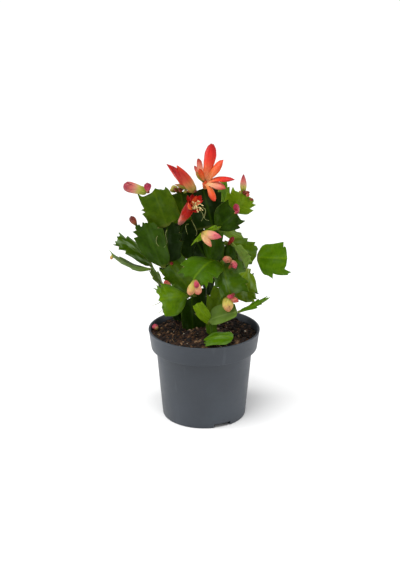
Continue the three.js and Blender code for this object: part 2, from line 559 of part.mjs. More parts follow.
// ---- Soil ----
// The height of its uneven top: a low dome with waves that die out at the middle, lower on one side.
function soilTop(radius, angle, edgeRadius) {
  const share = radius / edgeRadius;
  const dome = SOIL.crown + (SOIL.edge - SOIL.crown) * share ** 3;
  const low = SOIL.tilt * share ** 3 * Math.cos(angle - SOIL.lowSide);
  const wave = ({ lobes, pitch, height }) => height * Math.sin(lobes * angle + pitch * radius);
  const waves = SOIL_WAVES.map(wave).reduce((sum, height) => sum + height);
  return dome - low + Math.min(1, 3 * share) * waves;
}

// A filled body, a gap inside the pot's wall and over its floor, with a hole for each stem in it.
function soilGeometry(stems) {
  const bottom = FLOOR_TOP + GAP;
  const bandIn = POT.bandFootRadius - POT.bandWall - GAP;
  const lipIn = POT.rimRadius - POT.lipWall - GAP;
  const lowestEdge = SOIL.edge - SOIL.dip;
  const edgeRadius = bandIn + ((lipIn - bandIn) * (lowestEdge - BAND_FOOT)) / POT.bandHeight;
  const points = [new THREE.Vector3(0, 0, bottom)];
  const faces = [];
  const n = SOIL.sides;
  const ring = (radius, height) => {
    const first = points.length;
    for (let i = 0; i < n; i++) {
      const angle = (2 * Math.PI * i) / n;
      const z = typeof height === "function" ? height(radius, angle) : height;
      points.push(new THREE.Vector3(radius * Math.cos(angle), radius * Math.sin(angle), z));
    }
    return first;
  };
  const band = (low, high) => {
    for (let i = 0; i < n; i++) {
      const k = (i + 1) % n;
      faces.push(low + i, low + k, high + k, low + i, high + k, high + i);
    }
  };
  const rims = [
    ring(wallInside(bottom) - GAP, bottom),
    ring(wallInside(BAND_FOOT) - GAP, BAND_FOOT),
    ring(bandIn, BAND_FOOT + POT.bandStep + GAP),
  ];
  for (let k = 0; k < SOIL.rings; k++) {
    const radius = edgeRadius * (1 - k / SOIL.rings);
    rims.push(ring(radius, (r, a) => soilTop(r, a, edgeRadius)));
  }
  for (let i = 0; i < n; i++) faces.push(0, rims[0] + ((i + 1) % n), rims[0] + i);
  for (let k = 0; k + 1 < rims.length; k++) band(rims[k], rims[k + 1]);
  const top = points.length;
  points.push(new THREE.Vector3(0, 0, soilTop(0, 0, edgeRadius)));
  for (let i = 0; i < n; i++) faces.push(rims.at(-1) + i, rims.at(-1) + ((i + 1) % n), top);
  const geometry = new THREE.BufferGeometry().setFromPoints(points);
  geometry.setIndex(faces);
  let soil = solid(geometry);
  for (const { row, frame } of stems) soil = soil.subtract(solid(bladeGeometry(row, frame, GAP)));
  return geometryOf(soil);
}

// ---- The plant in its pot ----
const group = new THREE.Group();

function addPiece(name, geometry, shade, roughness = 0.5) {
  const material = new THREE.MeshStandardMaterial({ color: COLOURS[shade], roughness, metalness: 0 });
  const mesh = new THREE.Mesh(geometry, material);
  mesh.name = name;
  group.add(mesh);
}

addPiece("pot", potGeometry(), "pot", 0.6);
for (const row of JOINTS) addPiece("stem_" + row.name, bladeGeometry(row, growJoint(row)), row.shade);
for (const bunch of BUDS) {
  const tips = bunch.buds.map((bud) => vec(bud.tip));
  const middle = tips.reduce((sum, tip) => sum.add(tip), new THREE.Vector3()).divideScalar(tips.length);
  const neck = bunch.buds[0].radius * BUD_NECK;
  const apex = bunch.on && apexOf(grownJoints.get(bunch.on), bunch.seat);
  const seat = apex ? footOn(apex, middle, neck) : vec(bunch.at);
  const geometries = bunch.buds.map((bud) => budGeometry(seat, vec(bud.tip), bud.radius));
  addPiece(bunch.name, unionOf(geometries), bunch.shade);
}
for (const flower of FLOWERS) {
  const throat = vec(flower.throat);
  const seat = footOn(apexOf(grownJoints.get(flower.on), flower.seat), throat, flower.tube[0][1]);
  const axis = throat.clone().sub(seat).normalize();
  const petals = flower.petals.map((petal) => petalGeometry(petalRoot(flower, throat, axis, petal), petal));
  const tube = turnedGeometry(seat, throat, flower.tube, TUBE_SIDES);
  addPiece(flower.name, unionOf([tube, ...petals]), flower.shade);
  if (flower.name === "flower_drooping") addPiece("stamens", stamensGeometry(throat, axis), "cream");
}
addPiece("soil", soilGeometry([...grownJoints.values()].filter(({ row }) => row.root)), "soil", 1);

export default group;
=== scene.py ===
"""The looks of a potted christmas cactus: its flat toothed stem joints, buds, blooms, roots, peat and pot.

Sizes and places are in millimetres, and MM turns them to metres where a mesh is made.
"""
import math
import random

import bpy
import numpy as np
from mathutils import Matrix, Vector, noise


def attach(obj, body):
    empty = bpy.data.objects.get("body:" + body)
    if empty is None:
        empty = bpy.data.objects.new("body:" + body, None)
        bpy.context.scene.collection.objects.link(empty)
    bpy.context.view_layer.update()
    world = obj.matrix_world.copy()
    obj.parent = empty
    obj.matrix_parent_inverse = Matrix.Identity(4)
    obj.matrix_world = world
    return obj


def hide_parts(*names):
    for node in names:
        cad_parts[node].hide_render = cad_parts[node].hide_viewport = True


MM = 0.001

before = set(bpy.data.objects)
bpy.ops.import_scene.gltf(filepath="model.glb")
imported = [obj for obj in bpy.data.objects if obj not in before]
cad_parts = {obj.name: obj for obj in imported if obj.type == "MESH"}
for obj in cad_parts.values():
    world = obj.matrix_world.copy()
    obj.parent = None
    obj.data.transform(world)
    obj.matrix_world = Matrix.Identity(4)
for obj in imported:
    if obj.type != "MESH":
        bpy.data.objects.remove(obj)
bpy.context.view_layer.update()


# ---- Camera, floor and light ----
CAMERA_PLACE = (-3.94, -950, 456.9)
CAMERA_DOWN = 19.07  # degrees below the horizon
CAMERA_LENS = 68.18
FLOOR_SIZE = 60  # metres
FLOOR_TINT = (0.93, 0.93, 0.93, 1)
WORLD_LIGHT = 0.45
OVERHEAD = dict(strength=2.4, spread=40, lean=(-18, 10, 0))  # degrees
# Each: where it stands, in metres, its size and its power.
SOFTBOXES = {
    "left_light": ((-1.0, 0.0, 0.35), (0.4, 0.8), 5.5),
    "right_light": ((1.0, 0.0, 0.4), (0.4, 0.8), 4),
}
LIGHT_AIM = (0, 0, 0.13)


def put_in_scene(name, data):
    made = bpy.data.objects.new(name, data)
    bpy.context.scene.collection.objects.link(made)
    return made


def add_camera():
    data = bpy.data.cameras.new("camera")
    data.lens = CAMERA_LENS
    data.clip_end = 2 * FLOOR_SIZE
    camera = put_in_scene("camera", data)
    camera.location = [x * MM for x in CAMERA_PLACE]
    camera.rotation_euler = (math.radians(90 - CAMERA_DOWN), 0, 0)
    bpy.context.scene.camera = camera


def add_softbox(name, place, size, power):
    data = bpy.data.lights.new(name, "AREA")
    data.shape = "RECTANGLE"
    data.size, data.size_y = size
    data.energy = power
    light = put_in_scene(name, data)
    light.location = place
    toward = Vector(LIGHT_AIM) - Vector(place)
    light.rotation_euler = toward.to_track_quat("-Z", "Y").to_euler()


def add_studio():
    world = bpy.data.worlds.new("studio")
    world.use_nodes = True
    world.node_tree.nodes["Background"].inputs["Color"].default_value = (1, 1, 1, 1)
    world.node_tree.nodes["Background"].inputs["Strength"].default_value = WORLD_LIGHT
    bpy.context.scene.world = world
    bpy.context.scene.view_settings.view_transform = "Standard"
    overhead = bpy.data.lights.new("overhead_light", "SUN")
    overhead.energy = OVERHEAD["strength"]
    overhead.angle = math.radians(OVERHEAD["spread"])
    lamp = put_in_scene("overhead_light", overhead)
    lamp.rotation_euler = [math.radians(-turn) for turn in OVERHEAD["lean"]]
    for name, (place, size, power) in SOFTBOXES.items():
        add_softbox(name, place, size, power)


# ---- Material nodes ----
def fill(tree, sockets, values):
    """Joins each socket to the one given for it, or sets its value."""
    for socket, value in zip(sockets, values):
        if isinstance(value, bpy.types.NodeSocket):
            tree.links.new(value, socket)
        else:
            socket.default_value = value


def add_node(tree, kind, inputs, settings):
    made = tree.nodes.new(kind)
    for key, value in settings.items():
        setattr(made, key, value)
    inputs = inputs or {}
    fill(tree, [made.inputs[key] for key in inputs], inputs.values())
    return made


class Finish:
    """A material with one Principled shader, and short ways to add and join its nodes."""

    def __init__(self, name, **sockets):
        self.material = bpy.data.materials.new(name)
        self.material.use_nodes = True
        self.tree = self.material.node_tree
        self.shader = self.tree.nodes["Principled BSDF"]
        for socket, value in sockets.items():
            self.shader.inputs[socket.replace("_", " ")].default_value = value

    def node(self, kind, inputs=None, **settings):
        return add_node(self.tree, "ShaderNode" + kind, inputs, settings)

    def own(self, name):
        """A value that the mesh carries."""
        return self.node("Attribute", attribute_name=name).outputs

    def place(self, stretch=(1, 1, 1), of="Object"):
        source = self.node("TexCoord").outputs[of]
        return self.node("Mapping", {"Vector": source, "Scale": stretch}).outputs["Vector"]

    def noise(self, scale, detail=3, roughness=0.55, where=None):
        inputs = {"Vector": where or self.place(), "Scale": scale, "Detail": detail, "Roughness": roughness}
        return self.node("TexNoise", inputs).outputs["Fac"]

    def ramp(self, value, *stops):
        """Tints, as hex digits, by the places of their stops."""
        made = self.node("ValToRGB", {"Fac": value})
        elements = made.color_ramp.elements
        while len(elements) < len(stops):
            elements.new(0.5)
        for element, (place, tint) in zip(elements, stops):
            element.position = place
            element.color = srgb(tint)
        return made.outputs["Color"]

    def range(self, value, low, high, to_low=0.0, to_high=1.0):
        inputs = {"Value": value, "From Min": low, "From Max": high, "To Min": to_low, "To Max": to_high}
        return self.node("MapRange", inputs).outputs["Result"]

    def math(self, operation, a, b=0.0, c=0.0):
        made = self.node("Math", {0: a, 1: b, 2: c}, operation=operation)
        return made.outputs["Value"]

    def mix(self, share, a, b, blend="MIX"):
        made = self.node("Mix", data_type="RGBA", blend_type=blend)
        fill(self.tree, [made.inputs[0], made.inputs[6], made.inputs[7]], [share, a, b])
        return made.outputs[2]

    def bump(self, height, distance, strength=1.0, after=None):
        inputs = {"Height": height, "Distance": distance, "Strength": strength}
        if after:
            inputs["Normal"] = after
        return self.node("Bump", inputs).outputs["Normal"]

    def wire(self, **sockets):
        for socket, value in sockets.items():
            self.tree.links.new(value, self.shader.inputs[socket.replace("_", " ")])
        return self.material


def srgb(text):
    """A colour given as six hex digits, in the linear values that Blender's sockets take."""
    shares = [int(text[i:i + 2], 16) / 255 for i in (0, 2, 4)]
    linear = [c / 12.92 if c <= 0.04045 else ((c + 0.055) / 1.055) ** 2.4 for c in shares]
    return (*linear, 1.0)


# Deep, middle and fresh green of each shade of stem joint; the shades are partly painted light.
# dark is partly painted shade, bright partly painted light on lit joints, pale partly a painted greyish
# sheen.
STEM_GREENS = {
    "dark": ("122302", "223A03", "3C5A08"),
    "mid": ("223A02", "375304", "5E7610"),
    "bright": ("2E4A03", "466A06", "729212"),
    "pale": ("48601C", "627C32", "849C52"),
}
# Tints of the thin margin and of the neck, and of a painted sheen band.
MARGIN_GREEN, NECK_OLIVE, PAINTED_SHEEN_TINT = "8A9A3C", "6A6E2C", "9DB68C"
PLASTIC = ((0.3, "2A3037"), (0.5, "31373F"), (0.72, "3A4149"))
SCUFF_GREY, GRAIN_GREY = "5C6268", "565C62"
PEAT = ((0.34, "120A05"), (0.5, "2E1B0E"), (0.62, "4A2F18"), (0.74, "7A5430"))
# The first is the tint of tan flecks, partly grains and partly painted highlights.
PEAT_GRAIN_AND_HIGHLIGHT, GRAIN_SHADE = "9A7448", "090402"
THREAD_TINTS = {
    "stamen_skin": ("BFA868", "DCCB92"),
    "root_skin": ("5E6A30", "93985A"),
    "hair_skin": ("8A7440", "B9A468"),
}
SIDE_VEINS, VEIN_SLANT = 62.0, 16.0


def stem_finish(shade):
    """Waxy green skin: mottled, a paler midrib, faint side veins and a warm thin margin, with a painted
    sheen band and soft patches of painted shade.
    """
    greens = STEM_GREENS[shade]
    deep, fresh = srgb(greens[0]), srgb(greens[2])
    finish = Finish("stem_skin_" + shade,
                    Subsurface_Weight=0.1, Subsurface_Scale=0.0015, Specular_IOR_Level=0.03)
    finish.shader.inputs["Subsurface Radius"].default_value = (0.5, 1.0, 0.2)
    spread = finish.node("SeparateXYZ", {"Vector": finish.node("TexCoord").outputs["UV"]})
    across, along = spread.outputs["X"], spread.outputs["Y"]
    off_rib = finish.math("ABSOLUTE", finish.math("MULTIPLY_ADD", across, 2.0, -1.0))
    # The tone is partly the joint's own green and partly painted shade and light: low deep in the plant,
    # high on lit joints.
    tone = finish.own("tone")["Fac"]
    mottle = finish.noise(90, 4)
    grown = finish.math("ADD", finish.math("MULTIPLY", mottle, 0.5), finish.math("MULTIPLY", tone, 0.6))
    skin = finish.ramp(grown, *zip((0.25, 0.55, 0.85), greens))
    rib = finish.range(off_rib, 0.0, 0.11, 0.4, 0.0)
    skin = finish.mix(rib, skin, fresh)
    edge = finish.range(off_rib, 0.93, 1.0, 0.0, 0.45)
    skin = finish.mix(edge, skin, srgb(MARGIN_GREEN))
    neck = finish.range(along, 0.0, 0.09, 0.75, 0.0)
    skin = finish.mix(neck, skin, srgb(NECK_OLIVE))
    specks = finish.range(finish.noise(1600, 2), 0.68, 0.74, 0.0, 0.5)
    skin = finish.mix(specks, skin, fresh)
    # Painted sheen: a soft paler band mixed into the green, its strength carried per joint.
    gloss = finish.own("gloss")["Fac"]
    sheen = finish.noise(3, 2, where=finish.place((1.3, 0.8, 1), "UV"))
    lit = finish.math("MULTIPLY", finish.range(sheen, 0.46, 0.66, 0.0, 0.42), gloss)
    skin = finish.mix(lit, skin, srgb(PAINTED_SHEEN_TINT))
    # Painted shade: soft darker patches, mixed towards the deep green.
    painted_shade = finish.range(finish.noise(4, 3, where=finish.place((1.6, 0.8, 1), "UV")), 0.5, 0.72, 0.0, 0.45)
    skin = finish.mix(painted_shade, skin, deep)
    slant = finish.math("MULTIPLY", along, SIDE_VEINS)
    swept = finish.math("MULTIPLY", off_rib, VEIN_SLANT)
    veins = finish.math("SINE", finish.math("SUBTRACT", slant, swept))
    pores = finish.noise(2600, 2)
    relief = finish.bump(veins, 0.00006, 0.5)
    relief = finish.bump(mottle, 0.0009, 0.5, relief)
    relief = finish.bump(pores, 0.00005, 0.35, relief)
    rough = finish.range(finish.noise(260, 3), 0.3, 0.7, 0.30, 0.46)
    return finish.wire(Base_Color=skin, Roughness=rough, Normal=relief)


def petal_finish(name, rough, glow):
    """Petal and bud skin: its own painted tints, with fine streaks along it."""
    finish = Finish(name, Subsurface_Weight=glow, Subsurface_Scale=0.002, Specular_IOR_Level=0.25)
    finish.shader.inputs["Subsurface Radius"].default_value = (1.0, 0.35, 0.25)
    tint = finish.own("tint")["Color"]
    streaks = finish.noise(9, 4, where=finish.place((2.2, 0.22, 1), "UV"))
    shade = finish.range(streaks, 0.3, 0.7, 0.80, 1.12)
    mottle = finish.range(finish.noise(420, 3), 0.3, 0.75, 0.93, 1.05)
    gain = finish.math("MULTIPLY", shade, mottle)
    grey = finish.node("CombineColor", {0: gain, 1: gain, 2: gain}).outputs[0]
    skin = finish.mix(1.0, tint, grey, "MULTIPLY")
    relief = finish.bump(streaks, 0.00025, 0.45)
    relief = finish.bump(finish.noise(1900, 2), 0.00005, 0.3, relief)
    roughness = finish.range(mottle, 0.93, 1.05, rough + 0.06, rough - 0.05)
    return finish.wire(Base_Color=skin, Roughness=roughness, Normal=relief)


def pot_finish():
    """Slate recycled plastic: a soft sheen, cloudy tone, a fine grain and faint upright scuffs."""
    finish = Finish("pot_plastic", Specular_IOR_Level=0.45)
    clouds = finish.noise(18, 4)
    tone = finish.ramp(clouds, *PLASTIC)
    scuffs = finish.range(finish.noise(26, 5, where=finish.place((4, 4, 0.35))), 0.60, 0.74, 0.0, 0.22)
    tone = finish.mix(scuffs, tone, srgb(SCUFF_GREY))
    grain = finish.noise(2400, 3)
    tone = finish.mix(finish.range(grain, 0.62, 0.8, 0.0, 0.25), tone, srgb(GRAIN_GREY))
    relief = finish.bump(clouds, 0.0004, 0.25)
    relief = finish.bump(grain, 0.00008, 0.5, relief)
    rough = finish.range(finish.noise(70, 4), 0.3, 0.7, 0.42, 0.56)
    return finish.wire(Base_Color=tone, Roughness=rough, Normal=relief)


def peat_finish():
    """Damp peat: near-black hollows, brown crumbs and scattered tan flecks, partly grains and partly
    painted highlights.
    """
    finish = Finish("peat", Specular_IOR_Level=0.3)
    coarse = finish.noise(260, 6, 0.7)
    tone = finish.ramp(coarse, *PEAT)
    # Tan flecks: partly grains, partly painted highlights.
    grains = finish.node("TexVoronoi", {"Vector": finish.place(), "Scale": 620.0}).outputs["Distance"]
    tone = finish.mix(finish.range(grains, 0.05, 0.16, 0.5, 0.0), tone, srgb(PEAT_GRAIN_AND_HIGHLIGHT))
    relief = finish.bump(coarse, 0.002, 0.9)
    rough = finish.range(coarse, 0.3, 0.7, 0.98, 0.8)
    return finish.wire(Base_Color=tone, Roughness=rough, Normal=relief)


def grain_finish(name, stops, rough):
    """Loose grains: each takes its own tone from a random value that it carries."""
    finish = Finish(name, Specular_IOR_Level=0.35)
    tone = finish.ramp(finish.own("grain_tone")["Fac"], *stops)
    fine = finish.noise(1500, 4)
    tone = finish.mix(finish.range(fine, 0.35, 0.7, 0.75, 0.0), tone, srgb(GRAIN_SHADE))
    relief = finish.bump(fine, 0.0004, 0.8)
    roughness = finish.range(fine, 0.3, 0.7, rough, rough - 0.12)
    return finish.wire(Base_Color=tone, Roughness=roughness, Normal=relief)


def thread_finish(name, rough):
    """Thin roots, hairs and filaments."""
    low, high = THREAD_TINTS[name]
    finish = Finish(name, Subsurface_Weight=0.1, Subsurface_Scale=0.001)
    fine = finish.noise(700, 3)
    tone = finish.ramp(fine, (0.35, low), (0.65, high))
    relief = finish.bump(fine, 0.0001, 0.4)
    roughness = finish.range(fine, 0.3, 0.7, rough + 0.06, rough - 0.06)
    return finish.wire(Base_Color=tone, Roughness=roughness, Normal=relief)


def add_floor():
    half = FLOOR_SIZE / 2
    mesh = bpy.data.meshes.new("floor")
    corners = [(-half, -half, 0), (half, -half, 0), (half, half, 0), (-half, half, 0)]
    mesh.from_pydata(corners, [], [(0, 1, 2, 3)])
    paper = Finish("floor_paper", Roughness=0.9, Specular_IOR_Level=0.1, Base_Color=FLOOR_TINT)
    mesh.materials.append(paper.material)
    floor = put_in_scene("floor", mesh)


# ---- Meshes ----
def unit(v):
    return np.asarray(v, float) / np.linalg.norm(v)


def ring_faces(rings, sides):
    """Faces of a closed body: one end point, rings of points, and the other end point."""
    faces = []
    last = 1 + (rings - 1) * sides
    for k in range(sides):
        n = (k + 1) % sides
        faces.append((0, 1 + n, 1 + k))
        faces += [(a + k, a + n, a + sides + n, a + sides + k) for a in range(1, last, sides)]
        faces.append((last + k, last + n, last + sides))
    return faces


def close_border(front, back):
    """Brings the two faces of a sheet together all round it."""
    for k in (0, -1):
        front[k] = back[k] = (front[k] + back[k]) / 2
        front[:, k] = back[:, k] = (front[:, k] + back[:, k]) / 2


def mesh_of(name, points, faces):
    mesh = bpy.data.meshes.new(name)
    mesh.from_pydata([Vector(p) * MM for p in points], [], faces)
    mesh.update()
    return mesh


def smooth(mesh):
    mesh.polygons.foreach_set("use_smooth", [True] * len(mesh.polygons))


class Shape:
    """Points, faces, surface places and tints gathered for one piece."""

    def __init__(self, tone=0.5, gloss=0.0):
        self.points, self.faces, self.places, self.tints = [], [], [], []
        self.tone, self.gloss = tone, gloss

    def add(self, points, faces, places, tints=None):
        start = len(self.points)
        self.points += [tuple(p) for p in points]
        self.faces += [tuple(start + i for i in face) for face in faces]
        self.places += [tuple(p) for p in places]
        self.tints += [tuple(t) for t in tints] if tints is not None else [(1, 1, 1, 1)] * len(points)

    def sheet(self, front, back, tints=None):
        """A thin closed skin from two grids of points that share their borders."""
        rows, columns = front.shape[:2]
        index = np.arange(rows * columns).reshape(rows, columns)
        inner = np.arange((rows - 2) * (columns - 2)).reshape(rows - 2, columns - 2) + rows * columns
        under = index.copy()
        under[1:-1, 1:-1] = inner
        points = np.concatenate([front.reshape(-1, 3), back[1:-1, 1:-1].reshape(-1, 3)])
        u, v = np.meshgrid(np.linspace(0, 1, columns), np.linspace(0, 1, rows))
        grid = np.stack([u, v], -1)
        places = np.concatenate([grid.reshape(-1, 2), grid[1:-1, 1:-1].reshape(-1, 2)])
        if tints is not None:
            tints = np.concatenate([tints.reshape(-1, 4), tints[1:-1, 1:-1].reshape(-1, 4)])
        faces = []
        for i in range(rows - 1):
            for j in range(columns - 1):
                faces.append((index[i, j], index[i, j + 1], index[i + 1, j + 1], index[i + 1, j]))
                faces.append((under[i, j], under[i + 1, j], under[i + 1, j + 1], under[i, j + 1]))
        self.add(points, faces, places, tints)

    def tube(self, path, radii, sides=8, tints=None, lobes=0.0):
        """A closed round body along a path, with its ends drawn to points."""
        path = np.asarray(path, float)
        ahead = np.gradient(path, axis=0)
        side = unit(np.cross(ahead[0], (0.31, 0.87, 0.39)))
        points, places = [path[0]], [(0.5, 0)]
        colours = [tints[0]] if tints is not None else None
        count = len(path)
        for i, (centre, radius) in enumerate(zip(path, radii)):
            forward = unit(ahead[i])
            side = unit(side - forward * side.dot(forward))
            up = np.cross(forward, side)
            for k in range(sides):
                turn = 2 * math.pi * k / sides
                r = radius * (1 + lobes * math.cos(5 * turn))
                points.append(centre + r * (math.cos(turn) * side + math.sin(turn) * up))
                places.append((k / sides, i / (count - 1)))
                if tints is not None:
                    colours.append(tints[i])
        points.append(path[-1])
        places.append((0.5, 1))
        if tints is not None:
            colours.append(tints[-1])
        self.add(points, ring_faces(count, sides), places, colours)

    def object(self, name, material):
        mesh = mesh_of(name, self.points, self.faces)
        uv = mesh.uv_layers.new(name="UVMap")
        corners = np.zeros(len(mesh.loops), np.int32)
        mesh.loops.foreach_get("vertex_index", corners)
        uv.data.foreach_set("uv", np.asarray(self.places, np.float32)[corners].ravel())
        tint = mesh.attributes.new("tint", "FLOAT_COLOR", "POINT")
        tint.data.foreach_set("color", np.asarray(self.tints, np.float32).ravel())
        # Per piece: a tone that is partly painted shade and light, and the strength of a painted sheen
        # band.
        for title, value in (("tone", self.tone), ("gloss", self.gloss)):
            own = mesh.attributes.new(title, "FLOAT", "POINT")
            own.data.foreach_set("value", np.full(len(self.points), value, np.float32))
        mesh.materials.append(material)
        smooth(mesh)
        return put_in_scene(name, mesh)


def keep(piece, slot, *nodes):
    """The piece rides on the one body and stands for its nodes, which it hides; the slot is not used."""
    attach(piece, "root")
    if nodes:
        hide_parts(*nodes)


def blend(stops, shares):
    """Tints at each share, from (share, hex) stops."""
    places = [s for s, _ in stops]
    tints = np.array([srgb(tint) for _, tint in stops])
    return np.stack([np.interp(shares, places, tints[:, k]) for k in range(4)], -1)


# ---- How the plant grows ----
# What a joint is unless its row says otherwise. The two values of a pair are for its two margins.
PLAIN_JOINT = dict(
    seat=0,  # where across the apex below it grows, from -1 to 1
    bow=0,  # how far its midrib arches
    cup=0,  # how far its margins curl
    twist=0,  # degrees, by its tip
    stalk=1.5,  # length of the bare neck
    shoulder=0.52,  # share of its length by which it is broad
    blunt=False,  # whether it broadens in a round shoulder
    fuller=(1, 1),
    narrow=(0, 0),  # how much it draws in towards the tip
    teeth=((), ()),  # shares of its length at which a tooth points
    tooth=1,  # size of its teeth
    horns=((2.2, 1), (2.2, 1)),  # how far each corner of the apex stands ahead and out
    points=(),  # more points on the apex: where across it, how far ahead, how wide
    # tone is partly painted shade and light, darker deep in the plant and fresher on lit joints.
    tone=0.5,  # from deep to fresh green
    # how strong a painted sheen band is on the joint
    gloss=0.1,
)


def joint(**own):
    return {**PLAIN_JOINT, **own}
